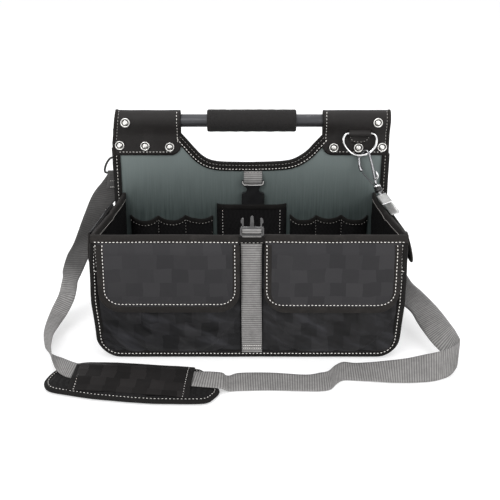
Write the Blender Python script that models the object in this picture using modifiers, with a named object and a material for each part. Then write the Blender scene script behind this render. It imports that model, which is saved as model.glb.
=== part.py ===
"""Open-top garden tool bag: a tote with a tall back panel and a padded tube
handle, pockets with flaps, a centre strap with a side-release buckle, a key ring
with a snap hook, and a shoulder strap with a sliding pad.

Dimensions are millimetres; the scene is in metres. +Z is up, the bag stands on
z = 0, its front faces -Y and X runs to the right as seen from the front."""
import math

import bmesh
import bpy
from mathutils import Matrix, Vector

MM = 0.001
LEFT, RIGHT = -1, 1
SIDES = {LEFT: "left", RIGHT: "right"}

# ---------------------------------------------------------------- dimensions
# Body
FRONT_X = {LEFT: 215.0, RIGHT: 210.5}   # distance of the front panel's side edges from x = 0
REAR_HALF = 192.0         # half width between the gussets at the back panel
DEPTH_FRONT = -94.0       # inner face of the front panel
DEPTH_REAR = 94.0         # front face of the back lining
GUSSET_Y = 93.6           # the gussets run between +-this
FRONT_H = 184.0           # height of the front rim
GUSSET_REAR_H = 178.0     # height of the gusset rim at the back panel
PANEL_LOW = 0.5           # lower edge of the front and back panels
CORNER_R = 34.0           # lower corner radius of the bag
PANEL_T = 3.0
BOTTOM_GAP = 0.6          # between the bottom panel and the start of the corner curve
EDGE_INSET = 5.6          # front edge binding's centre line, inward from the panel edge

# Back panel
BACK_L, BACK_R = -204.5, 206.5   # side edges
HORN_TOP = 278.0          # the panel ends here, inside the handle ears
HORN_FOOT = 240.0         # above this the side edges lean inward
HORN_LEAN = 4.0
LAYER_GAP = 0.3           # between lining, board and cover
CUTOUT_INSET = 2.0        # panel edge below the cutout line
BACK_BINDING_GAP = 1.7    # binding line outside the panel's side edge

# Handle
TUBE_Y, TUBE_Z = 97.8, 291.0
TUBE_R, TUBE_WALL = 9.5, 1.5
TUBE_X0, TUBE_X1 = -197.0, 203.0
GRIP_X0, GRIP_X1 = -62.0, 70.0
GRIP_R, GRIP_CHAMFER = 16.5, 3.0
GRIP_BORE = TUBE_R + 0.35
EAR_T = 1.8
EAR_R = TUBE_R + 0.4 + EAR_T / 2   # middle of the leather round the tube
EAR_LEG = 5.0             # each leg of an ear stands this far from the tube axis in Y

# Rivets: (x, z)
RIVETS = {
    "left": [(-193.1, 254.9), (-155.3, 253.8), (-118.4, 252.3)],
    "right": [(126.7, 251.3), (163.6, 251.3), (199.0, 252.1)],
}
TOP_RIVETS = {"left": (-182.4, TUBE_Z), "right": (190.2, TUBE_Z)}
RIVET_R = 7.2
SHANK_R = 2.5
HOLE_R = 2.9
RIVET_FRONT, RIVET_BACK = 91.6, 104.0         # inner faces of the caps
TOP_RIVET_REACH = EAR_R + EAR_T / 2 + 0.3     # the same, from the tube axis

# Flaps and centre strap
FLAP_T = 2.0
FLAP_TOP, FLAP_BOTTOM = 175.5, 75.0
FLAP_BACK = -104.4        # rear face of the front flaps
FLAP_R = 32.0
STRAP_X0, STRAP_X1 = -10.0, 17.5
TAB_AXIS = ((STRAP_X0 + STRAP_X1) / 2, -101.8, 186.0)   # the free end turns here

# ---------------------------------------------------------------- scene
for old in list(bpy.data.objects):
    bpy.data.objects.remove(old, do_unlink=True)

PARTS = bpy.data.collections.new("garden_tool_bag")
CUTTERS = bpy.data.collections.new("cutters")
bpy.context.scene.collection.children.link(PARTS)
bpy.context.scene.collection.children.link(CUTTERS)

# ---------------------------------------------------------------- materials
# kind: (base colour, roughness, metallic)
PALETTE = {
    "fabric": ((0.035, 0.034, 0.036), 0.85, 0.0),
    "lining": ((0.13, 0.155, 0.155), 0.6, 0.0),
    "tape": ((0.02, 0.018, 0.017), 0.8, 0.0),
    "webbing": ((0.26, 0.255, 0.25), 0.75, 0.0),
    "leather": ((0.022, 0.019, 0.019), 0.5, 0.0),
    "plastic": ((0.012, 0.012, 0.012), 0.4, 0.0),
    "grey_plastic": ((0.18, 0.18, 0.18), 0.4, 0.0),
    "chrome": ((0.8, 0.8, 0.8), 0.12, 1.0),
    "paint": ((0.04, 0.042, 0.045), 0.35, 0.6),
    "foam": ((0.012, 0.012, 0.012), 0.9, 0.0),
    "board": ((0.3, 0.27, 0.22), 0.9, 0.0),
}


def finish(obj, kind):
    """Give the object its own material of this kind."""
    colour, roughness, metallic = PALETTE[kind]
    mat = bpy.data.materials.new(f"{obj.name}_{kind}")
    mat.use_nodes = True
    shader = mat.node_tree.nodes["Principled BSDF"]
    shader.inputs["Base Color"].default_value = (*colour, 1.0)
    shader.inputs["Roughness"].default_value = roughness
    shader.inputs["Metallic"].default_value = metallic
    mat.diffuse_color = (*colour, 1.0)
    obj.data.materials.append(mat)
    return obj


# ---------------------------------------------------------------- lines and outlines
def spline(points, steps=6, closed=False):
    """Catmull-Rom points through points, with steps to each span."""
    pts = [Vector(p) for p in points]
    if closed:
        pts = [pts[-1], *pts, pts[0], pts[1]]
    else:
        pts = [2 * pts[0] - pts[1], *pts, 2 * pts[-1] - pts[-2]]
    out = []
    for before, start, end, after in zip(pts, pts[1:], pts[2:], pts[3:]):
        for k in range(steps):
            t = k / steps
            out.append(0.5 * (2 * start + (end - before) * t
                              + (2 * before - 5 * start + 4 * end - after) * t * t
                              + (3 * start - 3 * end + after - before) * t ** 3))
    if not closed:
        out.append(pts[-2])
    return out


def arc(centre_x, centre_y, radius, start, end, steps):
    """Points on an arc, angles in degrees."""
    angles = [math.radians(start + (end - start) * i / steps) for i in range(steps + 1)]
    return [(centre_x + radius * math.cos(a), centre_y + radius * math.sin(a)) for a in angles]


def round_bottom(left, right, low, radius, steps):
    """The two lower corners of an outline, from left to right."""
    return (arc(left + radius, low + radius, radius, 180, 270, steps)
            + arc(right - radius, low + radius, radius, 270, 360, steps))


def round_bottom_outline(left, right, top, low, radius, steps):
    """Square top corners and round lower ones."""
    return [(left, top), *round_bottom(left, right, low, radius, steps), (right, top)]


def shifted(points, dx):
    return [(dx + x, z) for x, z in points]


def tangent(line, i):
    return (line[min(i + 1, len(line) - 1)] - line[max(i - 1, 0)]).normalized()


def flat_section(centre, across, normal, width, thick):
    """Corners of a flat strip's cross-section."""
    side = across * (width / 2)
    lift = normal * (thick / 2)
    return [centre + side + lift, centre - side + lift, centre - side - lift, centre + side - lift]


def facing_front(y):
    """Curve x -> X, curve y -> Z, the plate's middle at depth y."""
    return Matrix(((1, 0, 0, 0), (0, 0, -1, y), (0, 1, 0, 0), (0, 0, 0, 1)))


def lying(z):
    """A level plate, its middle at height z."""
    return Matrix.Translation((0, 0, z))


# ---------------------------------------------------------------- object makers
def mesh_object(name, bm, origin=(0, 0, 0), fix_normals=True):
    """A bmesh in millimetres becomes an object whose origin is given in mm."""
    bmesh.ops.translate(bm, vec=(-origin[0], -origin[1], -origin[2]), verts=bm.verts)
    bmesh.ops.scale(bm, vec=(MM, MM, MM), verts=bm.verts)
    if fix_normals:
        bmesh.ops.recalc_face_normals(bm, faces=bm.faces)
    mesh = bpy.data.meshes.new(name)
    bm.to_mesh(mesh)
    bm.free()
    obj = bpy.data.objects.new(name, mesh)
    obj.location = Vector(origin) * MM
    PARTS.objects.link(obj)
    return obj


def solidify(obj, thick, offset=0.0):
    mod = obj.modifiers.new("thickness", "SOLIDIFY")
    mod.thickness = thick * MM
    mod.offset = offset
    mod.use_even_offset = True
    return obj


def cut(obj, cutter):
    mod = obj.modifiers.new("cut", "BOOLEAN")
    mod.operation = "DIFFERENCE"
    mod.solver = "EXACT"
    mod.object = cutter


def as_cutter(obj):
    PARTS.objects.unlink(obj)
    CUTTERS.objects.link(obj)
    obj.hide_render = True
    obj.display_type = "WIRE"
    return obj


def skin(bm, rows):
    """Quads between neighbouring open rows of vertices."""
    for row, following in zip(rows, rows[1:]):
        for i in range(len(row) - 1):
            bm.faces.new((row[i], row[i + 1], following[i + 1], following[i]))


def sheet_x(name, path, x0, x1, thick, kind):
    """A sheet whose line in the YZ plane is path, running from x0 to x1."""
    bm = bmesh.new()
    skin(bm, [[bm.verts.new((x, y, z)) for y, z in path] for x in (x0, x1)])
    return finish(solidify(mesh_object(name, bm), thick), kind)


def plate(name, outline, thick, place, kind, holes=(), origin=(0, 0, 0)):
    """A filled 2D curve extruded to thick; place turns curve mm into object mm."""
    curve = bpy.data.curves.new(name, "CURVE")
    curve.dimensions = "2D"
    curve.fill_mode = "BOTH"
    curve.extrude = thick / 2 * MM
    for points in [outline, *holes]:
        poly = curve.splines.new("POLY")
        poly.points.add(len(points) - 1)
        for point, (x, y) in zip(poly.points, points):
            point.co = (x * MM, y * MM, 0, 1)
        poly.use_cyclic_u = True
    temp = bpy.data.objects.new(name + "_outline", curve)
    CUTTERS.objects.link(temp)
    bpy.context.view_layer.update()
    depsgraph = bpy.context.evaluated_depsgraph_get()
    mesh = bpy.data.meshes.new_from_object(temp.evaluated_get(depsgraph))
    bpy.data.objects.remove(temp, do_unlink=True)
    bm = bmesh.new()
    bm.from_mesh(mesh)
    bpy.data.meshes.remove(mesh)
    # the filled faces and the extruded rim come unjoined
    bmesh.ops.remove_doubles(bm, verts=bm.verts, dist=1e-6)
    bmesh.ops.scale(bm, vec=(1 / MM, 1 / MM, 1 / MM), verts=bm.verts)
    bmesh.ops.transform(bm, matrix=place, verts=bm.verts)
    return finish(mesh_object(name, bm, origin), kind)


def wire(name, points, radius, origin, cyclic=False, bevel_steps=2):
    """A round chrome wire along points."""
    curve = bpy.data.curves.new(name, "CURVE")
    curve.dimensions = "3D"
    curve.bevel_depth = radius * MM
    curve.bevel_resolution = bevel_steps
    curve.use_fill_caps = not cyclic
    poly = curve.splines.new("POLY")
    poly.points.add(len(points) - 1)
    for point, place in zip(poly.points, points):
        point.co = (*((Vector(place) - Vector(origin)) * MM), 1)
    poly.use_cyclic_u = cyclic
    obj = bpy.data.objects.new(name, curve)
    obj.location = Vector(origin) * MM
    PARTS.objects.link(obj)
    return finish(obj, "chrome")


def lathe(name, profile, axis, origin, kind, steps):
    """A turned solid: profile of (radius, along), swept about the object's
    local Z, which is then laid along axis."""
    bm = bmesh.new()
    verts = [bm.verts.new((radius, 0, along)) for radius, along in reversed(profile)]
    for start, end in zip(verts, verts[1:]):
        bm.edges.new((start, end))
    obj = mesh_object(name, bm)
    mod = obj.modifiers.new("turn", "SCREW")
    mod.axis = "Z"
    mod.angle = 2 * math.pi
    mod.steps = steps
    mod.render_steps = steps
    mod.use_merge_vertices = True
    mod.merge_threshold = 1e-6
    mod.use_normal_calculate = True
    obj.rotation_mode = "QUATERNION"
    local_z = Vector((0, 0, 1))
    obj.rotation_quaternion = local_z.rotation_difference(Vector(axis).normalized())
    obj.location = Vector(origin) * MM
    return finish(obj, kind)


def middle(low, high):
    return [(a + b) / 2 for a, b in zip(low, high)]


def box_bmesh(low, high):
    bm = bmesh.new()
    bmesh.ops.create_cube(bm, size=1.0)
    bmesh.ops.scale(bm, vec=[b - a for a, b in zip(low, high)], verts=bm.verts)
    bmesh.ops.translate(bm, vec=middle(low, high), verts=bm.verts)
    return bm


def block(name, low, high, kind, bevel=0.0, origin=None):
    """A box from its lowest and highest corners, with rounded edges if bevel is set."""
    obj = mesh_object(name, box_bmesh(low, high), origin or middle(low, high))
    if bevel:
        mod = obj.modifiers.new("edges", "BEVEL")
        mod.width = bevel * MM
        mod.segments = 2
    return finish(obj, kind)


def pocket(name, low, high, thick, bevel, wall=(0, 1, 0)):
    """An open-topped pocket: a box with no top and no face on its wall side,
    turned into a shell inward by Solidify."""
    bm = box_bmesh(low, high)
    gone = [f for f in bm.faces
            if f.normal.dot(Vector((0, 0, 1))) > 0.9 or f.normal.dot(Vector(wall)) > 0.9]
    bmesh.ops.delete(bm, geom=gone, context="FACES_ONLY")
    folds = [e for e in bm.edges if not e.is_boundary]
    bmesh.ops.bevel(bm, geom=folds, offset=bevel, segments=3, affect="EDGES", profile=0.5)
    obj = mesh_object(name, bm, middle(low, high), fix_normals=False)
    return finish(solidify(obj, thick, offset=-1.0), "fabric")


def loft(name, sections, kind, origin=(0, 0, 0)):
    """Quads between like closed sections, with end faces."""
    bm = bmesh.new()
    rows = [[bm.verts.new(p) for p in section] for section in sections]
    count = len(rows[0])
    for row, following in zip(rows, rows[1:]):
        for i in range(count):
            j = (i + 1) % count
            bm.faces.new((row[i], row[j], following[j], following[i]))
    bm.faces.new(list(reversed(rows[0])))
    bm.faces.new(rows[-1])
    return finish(mesh_object(name, bm, origin), kind)


def channel(name, line, section):
    """A tape along a line in the XZ plane. The section is (out, depth), where out
    points to the left of travel as seen from the front."""
    centres = [Vector((x, 0, z)) for x, z in line]
    sections = []
    for i, centre in enumerate(centres):
        along = tangent(centres, i)
        out = Vector((-along.z, 0, along.x))
        sections.append([centre + out * a + Vector((0, y, 0)) for a, y in section])
    return loft(name, sections, "tape")


# ---------------------------------------------------------------- bag body
def gusset(side):
    """Side wall with the round lower corner, narrower and lower at the back."""
    spans = 4
    bm = bmesh.new()
    rows = []
    for k in range(spans + 1):
        f = k / spans
        y = -GUSSET_Y + 2 * GUSSET_Y * f
        half = FRONT_X[side] - (FRONT_X[side] - REAR_HALF) * f
        top = FRONT_H + (GUSSET_REAR_H - FRONT_H) * f
        profile = [(half, top), (half, 0.5 * (top + CORNER_R)),
                   *arc(half - CORNER_R, CORNER_R, CORNER_R, 0, -90, 6)]
        rows.append([bm.verts.new((side * x, y, z)) for x, z in profile])
    for a, b in zip(rows, rows[1:]):
        for i in range(len(a) - 1):
            # normals point outward, so that Solidify goes inward
            quad = (a[i], b[i], b[i + 1], a[i + 1])
            bm.faces.new(quad if side == LEFT else quad[::-1])
    obj = mesh_object(f"gusset_{SIDES[side]}", bm, fix_normals=False)
    finish(solidify(obj, PANEL_T, offset=-1.0), "fabric")


def bottom():
    """Bottom panel between the corner curves, and the board on it."""
    front_left, front_right, rear = (
        half - CORNER_R - BOTTOM_GAP for half in (FRONT_X[LEFT], FRONT_X[RIGHT], REAR_HALF))
    outline = [(-front_left, -GUSSET_Y), (front_right, -GUSSET_Y),
               (rear, GUSSET_Y), (-rear, GUSSET_Y)]
    plate("bottom_panel", outline, PANEL_T, lying(PANEL_T / 2), "fabric")
    board = [(-173, -90), (168, -90), (152, 90), (-152, 90)]
    plate("bottom_board", board, 3.0, lying(4.9), "board")


def front_panel():
    outline = round_bottom_outline(-FRONT_X[LEFT], FRONT_X[RIGHT], FRONT_H,
                                   PANEL_LOW, CORNER_R, 8)
    plate("front_panel", outline, PANEL_T, facing_front(DEPTH_FRONT - PANEL_T / 2), "fabric")


def front_bindings():
    """Tape folded over the rim, and flat tape round the front's sides and bottom."""
    fold = [(-98.0, 173.5), (-98.0, 184.95), (-93.0, 184.95), (-93.0, 173.5)]
    sheet_x("front_rim_binding", fold, -210.0, 205.5, 1.3, "tape")
    left, right = EDGE_INSET - FRONT_X[LEFT], FRONT_X[RIGHT] - EDGE_INSET
    line = round_bottom_outline(left, right, 173.0, PANEL_LOW + EDGE_INSET,
                                CORNER_R - EDGE_INSET, 10)
    channel("front_edge_binding", line,
            [(-5.4, -98.6), (5.4, -98.6), (5.4, -97.3), (-5.4, -97.3)])


# ---------------------------------------------------------------- back panel
# (x, z) along the hand opening's lower edge, left to right
CUTOUT = [
    (-101.0, 271.0), (-91.5, 260.0), (-81.5, 248.1), (-71.4, 237.6), (-59.4, 230.4),
    (-43.9, 227.2), (-20.0, 226.5), (3.0, 226.3), (26.0, 226.9), (51.4, 228.3),
    (68.6, 232.2), (85.7, 243.0), (97.8, 256.0), (110.0, 269.4),
]
CUTOUT_LINE = spline(CUTOUT, 3)
# (out, depth) of the tape folded over the back panel's edges
FOLDED_TAPE = [
    (0.0, 92.4), (0.0, 103.2), (-12.0, 103.2), (-12.0, 101.9),
    (-1.4, 101.9), (-1.4, 93.7), (-12.0, 93.7), (-12.0, 92.4),
]


def back_outline():
    lowered = []
    for i, point in enumerate(CUTOUT_LINE):
        along = tangent(CUTOUT_LINE, i)
        lowered.append((point.x + along.y * CUTOUT_INSET, point.y - along.x * CUTOUT_INSET))
    return [
        *round_bottom(BACK_L, BACK_R, PANEL_LOW, CORNER_R, 6),
        (BACK_R, HORN_FOOT), (BACK_R - HORN_LEAN, HORN_TOP), (113.0, HORN_TOP),
        *reversed(lowered),
        (-104.0, HORN_TOP), (BACK_L + HORN_LEAN, HORN_TOP), (BACK_L, HORN_FOOT),
    ]


def back_panel():
    """Lining, board and cover, from the inside of the bag outward."""
    outline = back_outline()
    layers = []
    y = DEPTH_REAR
    for name, thick, kind in (("back_lining", 2.0, "lining"), ("back_board", 3.0, "board"),
                              ("back_cover", 2.0, "fabric")):
        layers.append(plate(name, outline, thick, facing_front(y + thick / 2), kind))
        y += thick + LAYER_GAP
    return layers


def back_bindings():
    bound = [(p.x, p.y) for p in CUTOUT_LINE if -91.6 <= p.x <= 98.0]
    channel("cutout_binding", bound, FOLDED_TAPE)
    heights = [44.0, 140.0, 238.4]
    left, right = BACK_L - BACK_BINDING_GAP, BACK_R + BACK_BINDING_GAP
    channel("back_edge_binding_left", [(left, z) for z in heights], FOLDED_TAPE)
    channel("back_edge_binding_right", [(right, z) for z in reversed(heights)], FOLDED_TAPE)


# ---------------------------------------------------------------- handle
def handle_ears():
    """Leather straps over the tube, one leg on each side of the back panel."""
    leg = [239.0, 256.0, 271.0]
    line = [*((TUBE_Y - EAR_LEG, z) for z in leg),
            *arc(TUBE_Y, TUBE_Z, EAR_R, 196, -16, 14),
            *((TUBE_Y + EAR_LEG, z) for z in reversed(leg))]
    return [sheet_x("handle_ear_left", line, -203.5, -101.5, EAR_T, "leather"),
            sheet_x("handle_ear_right", line, 109.5, 207.5, EAR_T, "leather")]


def handle_tube():
    """A cylinder with no caps, made a wall by Solidify."""
    centre = ((TUBE_X0 + TUBE_X1) / 2, TUBE_Y, TUBE_Z)
    bm = bmesh.new()
    bmesh.ops.create_cone(bm, cap_ends=False, segments=28, radius1=TUBE_R, radius2=TUBE_R,
                          depth=TUBE_X1 - TUBE_X0)
    bmesh.ops.rotate(bm, cent=(0, 0, 0), matrix=Matrix.Rotation(math.pi / 2, 3, "Y"),
                     verts=bm.verts)
    bmesh.ops.translate(bm, vec=centre, verts=bm.verts)
    obj = solidify(mesh_object("handle_tube", bm, centre), TUBE_WALL, offset=-1.0)
    return finish(obj, "paint")


def handle_grip():
    shoulder = GRIP_R - GRIP_CHAMFER
    profile = [(GRIP_BORE, GRIP_X0), (shoulder, GRIP_X0), (GRIP_R, GRIP_X0 + GRIP_CHAMFER),
               (GRIP_R, GRIP_X1 - GRIP_CHAMFER), (shoulder, GRIP_X1), (GRIP_BORE, GRIP_X1),
               (GRIP_BORE, GRIP_X0)]
    lathe("handle_grip", profile, (1, 0, 0), (0, TUBE_Y, TUBE_Z), "foam", steps=32)


def cut_rivet_holes(targets):
    turn = Matrix.Rotation(math.pi / 2, 4, "X")
    bm = bmesh.new()
    for x, z in [*RIVETS["left"], *RIVETS["right"], *TOP_RIVETS.values()]:
        bmesh.ops.create_cone(bm, cap_ends=True, segments=16, radius1=HOLE_R, radius2=HOLE_R,
                              depth=60, matrix=Matrix.Translation((x, TUBE_Y, z)) @ turn)
    holes = as_cutter(mesh_object("rivet_holes", bm))
    for obj in targets:
        cut(obj, holes)


def rivet(name, x, z, y_front, y_back):
    """Double-cap rivet; its axis runs along +Y from the front cap."""
    length = y_back - y_front
    profile = [
        (0, -2.4), (RIVET_R * 0.45, -2.3), (RIVET_R * 0.62, -1.5), (RIVET_R * 0.78, -1.6),
        (RIVET_R * 0.9, -2.1), (RIVET_R, -1.3), (RIVET_R, 0),
        (SHANK_R, 0), (SHANK_R, length),
        (RIVET_R * 0.9, length), (RIVET_R * 0.9, length + 1.2), (RIVET_R * 0.5, length + 1.9),
        (0, length + 2.0),
    ]
    lathe(name, profile, (0, 1, 0), (x, y_front, z), "chrome", steps=20)


def rivets():
    for side, places in RIVETS.items():
        for i, (x, z) in enumerate(places, 1):
            rivet(f"rivet_{side}_{i}", x, z, RIVET_FRONT, RIVET_BACK)
    for side, (x, z) in TOP_RIVETS.items():
        rivet(f"rivet_{side}_top", x, z, TUBE_Y - TOP_RIVET_REACH, TUBE_Y + TOP_RIVET_REACH)


# ---------------------------------------------------------------- pockets and flaps
# name, lowest corner, highest corner, thickness, edge bevel; all open at the top and rear
POCKETS = [
    ("front_pocket_left", (-198.0, -104.0, 21.0), (-13.0, -97.3, 160.0), 1.5, 5.0),
    ("front_pocket_right", (20.5, -104.0, 21.0), (193.0, -97.3, 160.0), 1.5, 5.0),
    ("inner_pocket_centre", (-49.0, 83.5, 20.0), (57.0, 93.6, 155.0), 1.2, 2.0),
    ("inner_loops_left", (-183.0, 81.0, 20.0), (-55.0, 93.6, 140.0), 1.2, 2.0),
    ("inner_loops_right", (63.0, 81.0, 20.0), (183.0, 93.6, 140.0), 1.2, 2.0),
]


def front_flap(name, x0, x1):
    outline = round_bottom_outline(x0, x1, FLAP_TOP, FLAP_BOTTOM, FLAP_R, 8)
    plate(name, outline, FLAP_T, facing_front(FLAP_BACK - FLAP_T / 2), "fabric",
          origin=(0, FLAP_BACK - FLAP_T, FLAP_TOP))


def gusset_turn(side):
    """Angle about Z by which a gusset leans in towards the back."""
    return side * math.atan2(FRONT_X[side] - REAR_HALF, 2 * GUSSET_Y)


def gusset_frame(side):
    """Local frame (mm) on the gusset: X across it, Y along it, Z up."""
    return (Matrix.Translation((side * (FRONT_X[side] + REAR_HALF) / 2, 0, 0))
            @ Matrix.Rotation(gusset_turn(side), 4, "Z"))


def side_pocket(side):
    x0, x1 = sorted((side * 0.5, side * 10.0))
    low, high = (x0, -66.0, 26.0), (x1, 42.0, 160.0)
    obj = pocket(f"side_pocket_{SIDES[side]}", low, high, 1.5, 3.5, wall=(-side, 0, 0))
    obj.location = (gusset_frame(side) @ Vector(middle(low, high))) * MM
    obj.rotation_euler = (0, 0, gusset_turn(side))


# The flap's top line stands off the gusset and its lower edge swings outward
SIDE_FLAP_OFFSET = {LEFT: 10.6, RIGHT: 8.0}
SIDE_FLAP_FLARE = {LEFT: 4.0, RIGHT: 15.0}   # degrees
SIDE_FLAP_W, SIDE_FLAP_H, SIDE_FLAP_R = 108.0, 50.0, 14.0


def side_flap(side):
    hinge = gusset_frame(side) @ Vector((side * SIDE_FLAP_OFFSET[side], -12.0, 174.5))
    outline = round_bottom_outline(-SIDE_FLAP_W / 2, SIDE_FLAP_W / 2, 0, -SIDE_FLAP_H,
                                   SIDE_FLAP_R, 5)
    # curve x -> Y along the gusset, curve y -> Z, thickness outward
    upright = Matrix(((0, 0, 1, side * FLAP_T / 2), (1, 0, 0, 0), (0, 1, 0, 0), (0, 0, 0, 1)))
    flare = Matrix.Rotation(-side * math.radians(SIDE_FLAP_FLARE[side]), 4, "Y")
    turn = Matrix.Rotation(gusset_turn(side), 4, "Z")
    plate(f"side_flap_{SIDES[side]}", outline, FLAP_T,
          Matrix.Translation(hinge) @ turn @ flare @ upright, "fabric", origin=tuple(hinge))


# ---------------------------------------------------------------- centre strap and buckle
def front_strap():
    block("front_strap", (STRAP_X0, -98.9, 12.0), (STRAP_X1, -97.3, 172.8), "webbing")
    block("strap_keeper", (STRAP_X0 - 3, -101.3, 174.0), (STRAP_X1 + 3, -99.0, 183.6),
          "tape", bevel=0.6)
    block("front_strap_tab", (STRAP_X0 + 2, -100.9, 185.2), (STRAP_X1 - 2, -99.5, 196.7),
          "webbing", origin=TAB_AXIS)


MALE_X, MALE_Y = 4.2, -102.8
# (x from the buckle's middle, z): frame with a centre guide pointing up
MALE_FRAME = [
    (-15.9, 188.2), (-13.7, 187.0), (13.7, 187.0), (15.9, 188.2), (15.9, 197.6),
    (14.7, 199.4), (2.7, 199.4), (2.2, 212.9), (1.2, 214.7), (-1.2, 214.7),
    (-2.2, 212.9), (-2.7, 199.4), (-14.7, 199.4), (-15.9, 197.6),
]
MALE_SLOT = [(-13.5, 189.4), (-13.5, 196.0), (13.5, 196.0), (13.5, 189.4)]
# (x outward from the latch's own middle, z)
LATCH = [
    (-1.2, 199.9), (0.7, 199.9), (0.9, 204.6), (2.6, 205.6), (2.6, 208.6),
    (1.2, 211.8), (-1.4, 211.8), (-1.4, 205.8),
]
LATCH_X = 12.4            # latch middle from the buckle's middle


def male_buckle():
    plate("buckle_male", shifted(MALE_FRAME, MALE_X), 3.2, facing_front(MALE_Y),
          "grey_plastic", holes=[shifted(MALE_SLOT, MALE_X)], origin=TAB_AXIS)
    for side, side_name in SIDES.items():
        latch_x = MALE_X + side * LATCH_X
        outline = [(latch_x + side * x, z) for x, z in LATCH]
        # reversed on the left, so that both outlines wind the same way
        plate(f"buckle_latch_{side_name}", outline[::side], 3.0, facing_front(MALE_Y),
              "grey_plastic", origin=(latch_x, MALE_Y, 200.4))


FEMALE_X, FEMALE_Y = 6.0, 89.4
# (x from the buckle's middle, z): body below, neck, frame with its bar on top
FEMALE_OUTLINE = [
    (-10.0, 182.4), (-17.0, 179.6), (-17.0, 160.0), (-15.5, 158.5), (15.5, 158.5),
    (17.0, 160.0), (17.0, 179.6), (10.0, 182.4), (9.0, 187.5), (11.5, 191.3),
    (14.6, 192.1), (16.8, 195.7), (16.8, 200.7), (-16.8, 200.7), (-16.8, 195.7),
    (-14.6, 192.1), (-11.5, 191.3), (-9.0, 187.5),
]
FEMALE_WINDOW = [
    (-14.3, 197.9), (-14.3, 196.1), (-12.6, 193.7), (12.6, 193.7), (14.3, 196.1), (14.3, 197.9),
]
# name, half width, y range, z range: the mouth, and the thinning of the bar on both faces
FEMALE_CUTS = [
    ("female_mouth", 13.5, (87.7, 91.1), (157.0, 176.0)),
    ("female_bar_front", 20.0, (85.0, 88.1), (193.6, 203.7)),
    ("female_bar_back", 20.0, (90.7, 95.0), (193.6, 203.7)),
]
# (y, z) of the webbing folded round the bar
BUCKLE_TAB = [
    (93.05, 213.4), (93.05, 208.0), (93.05, 198.7), (91.6, 196.6), (89.4, 195.9),
    (87.2, 196.6), (85.8, 198.7), (85.8, 203.0), (87.6, 207.0), (90.8, 210.0),
]


def female_buckle():
    """The female half hangs from its webbing tab in front of the back panel."""
    sheet_x("buckle_tab", BUCKLE_TAB, FEMALE_X - 13.7, FEMALE_X + 13.7, 1.1, "webbing")
    body = plate("buckle_female", shifted(FEMALE_OUTLINE, FEMALE_X), 5.6,
                 facing_front(FEMALE_Y), "plastic", holes=[shifted(FEMALE_WINDOW, FEMALE_X)],
                 origin=(FEMALE_X, FEMALE_Y, 199.4))
    for name, half, (y0, y1), (z0, z1) in FEMALE_CUTS:
        low, high = (FEMALE_X - half, y0, z0), (FEMALE_X + half, y1, z1)
        cut(body, as_cutter(block(name, low, high, "plastic")))


# ---------------------------------------------------------------- key ring
RING_AXIS = (164.5, 86.5, 274.0)
KEY_RING = [
    (146.0, 86.5, 274.0), (155.0, 86.5, 274.0), (164.5, 86.5, 274.0), (174.0, 86.5, 274.0),
    (183.0, 86.5, 274.0), (187.6, 86.2, 271.0), (189.6, 85.9, 264.5), (188.2, 85.5, 256.0),
    (182.5, 85.1, 248.0), (174.5, 84.8, 242.6), (164.5, 84.7, 240.6), (154.5, 84.9, 243.5),
    (146.5, 85.3, 250.5), (141.4, 85.7, 258.5), (140.2, 86.0, 266.0), (142.0, 86.3, 271.5),
]


def key_ring():
    """The ring, and the leather loop that holds it at the right ear."""
    line = [(87.9, 279.6), *arc(RING_AXIS[1], RING_AXIS[2], 3.3, 55, 305, 9),
            (89.8, 268.0), (91.0, 264.0), (91.0, 260.0)]
    sheet_x("key_ring_loop", line, 148.0, 181.0, 1.4, "leather")
    wire("key_ring", spline(KEY_RING, 2, closed=True), 1.9, RING_AXIS, cyclic=True)


# ---------------------------------------------------------------- snap hook
# The hook leans forward from the ring; the clip rests over the right gusset.
SNAP_HOOK = [
    (188.6, 63.0, 204.4), (187.3, 66.5, 212.0), (184.9, 71.0, 222.5), (182.3, 75.6, 233.0),
    (180.0, 79.2, 241.0), (177.9, 81.6, 246.4), (175.0, 84.0, 249.0), (171.4, 86.9, 246.6),
    (168.0, 89.3, 240.8), (165.3, 88.8, 236.0), (165.6, 86.0, 229.0), (166.8, 82.4, 223.0),
    (168.5, 79.6, 219.4),
]
HOOK_GATE = [(186.0, 62.6, 201.6), (180.5, 67.3, 206.9), (174.5, 72.6, 212.6),
             (170.0, 76.4, 216.4)]
HOOK_BASE = Vector((189.8, 61.0, 201.6))
HOOK_DOWN = (Vector((194.5, 52.5, 191.0)) - HOOK_BASE).normalized()
# (radius, along)
COLLAR = [(0, 0), (4.2, 0.0), (5.6, 1.2), (5.6, 3.2), (4.6, 4.2), (0, 4.2)]
SWIVEL = [(0, 0), (4.4, 0), (6.0, 1.0), (6.0, 5.6), (5.0, 6.8), (0, 6.8)]
CLIP_ACROSS = Vector((0.90, 0.08, 0.30)).normalized()
CLIP_LIFT = 0.6           # the clip plates' middle above their lines


def snap_hook():
    wire("snap_hook", spline(SNAP_HOOK, 3), 2.0, (176.8, 84.8, 243.8))
    lathe("hook_collar", COLLAR, HOOK_DOWN, HOOK_BASE - HOOK_DOWN * 0.6, "chrome", steps=20)
    lathe("hook_swivel", SWIVEL, HOOK_DOWN, HOOK_BASE + HOOK_DOWN * 4.0, "plastic", steps=20)
    wire("hook_gate", HOOK_GATE, 1.0, HOOK_GATE[0], bevel_steps=1)


def clip_strip(name, start, end, width, thick):
    """A straight flat bar from start to end."""
    start, end = Vector(start), Vector(end)
    along = (end - start).normalized()
    across = (CLIP_ACROSS - along * CLIP_ACROSS.dot(along)).normalized()
    normal = along.cross(across)
    if normal.z < 0:
        normal = -normal
    sections = [flat_section(p + normal * CLIP_LIFT, across, normal, width, thick)
                for p in (start, start + (end - start) * 0.5, end)]
    loft(name, sections, "chrome", tuple(start))


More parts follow.
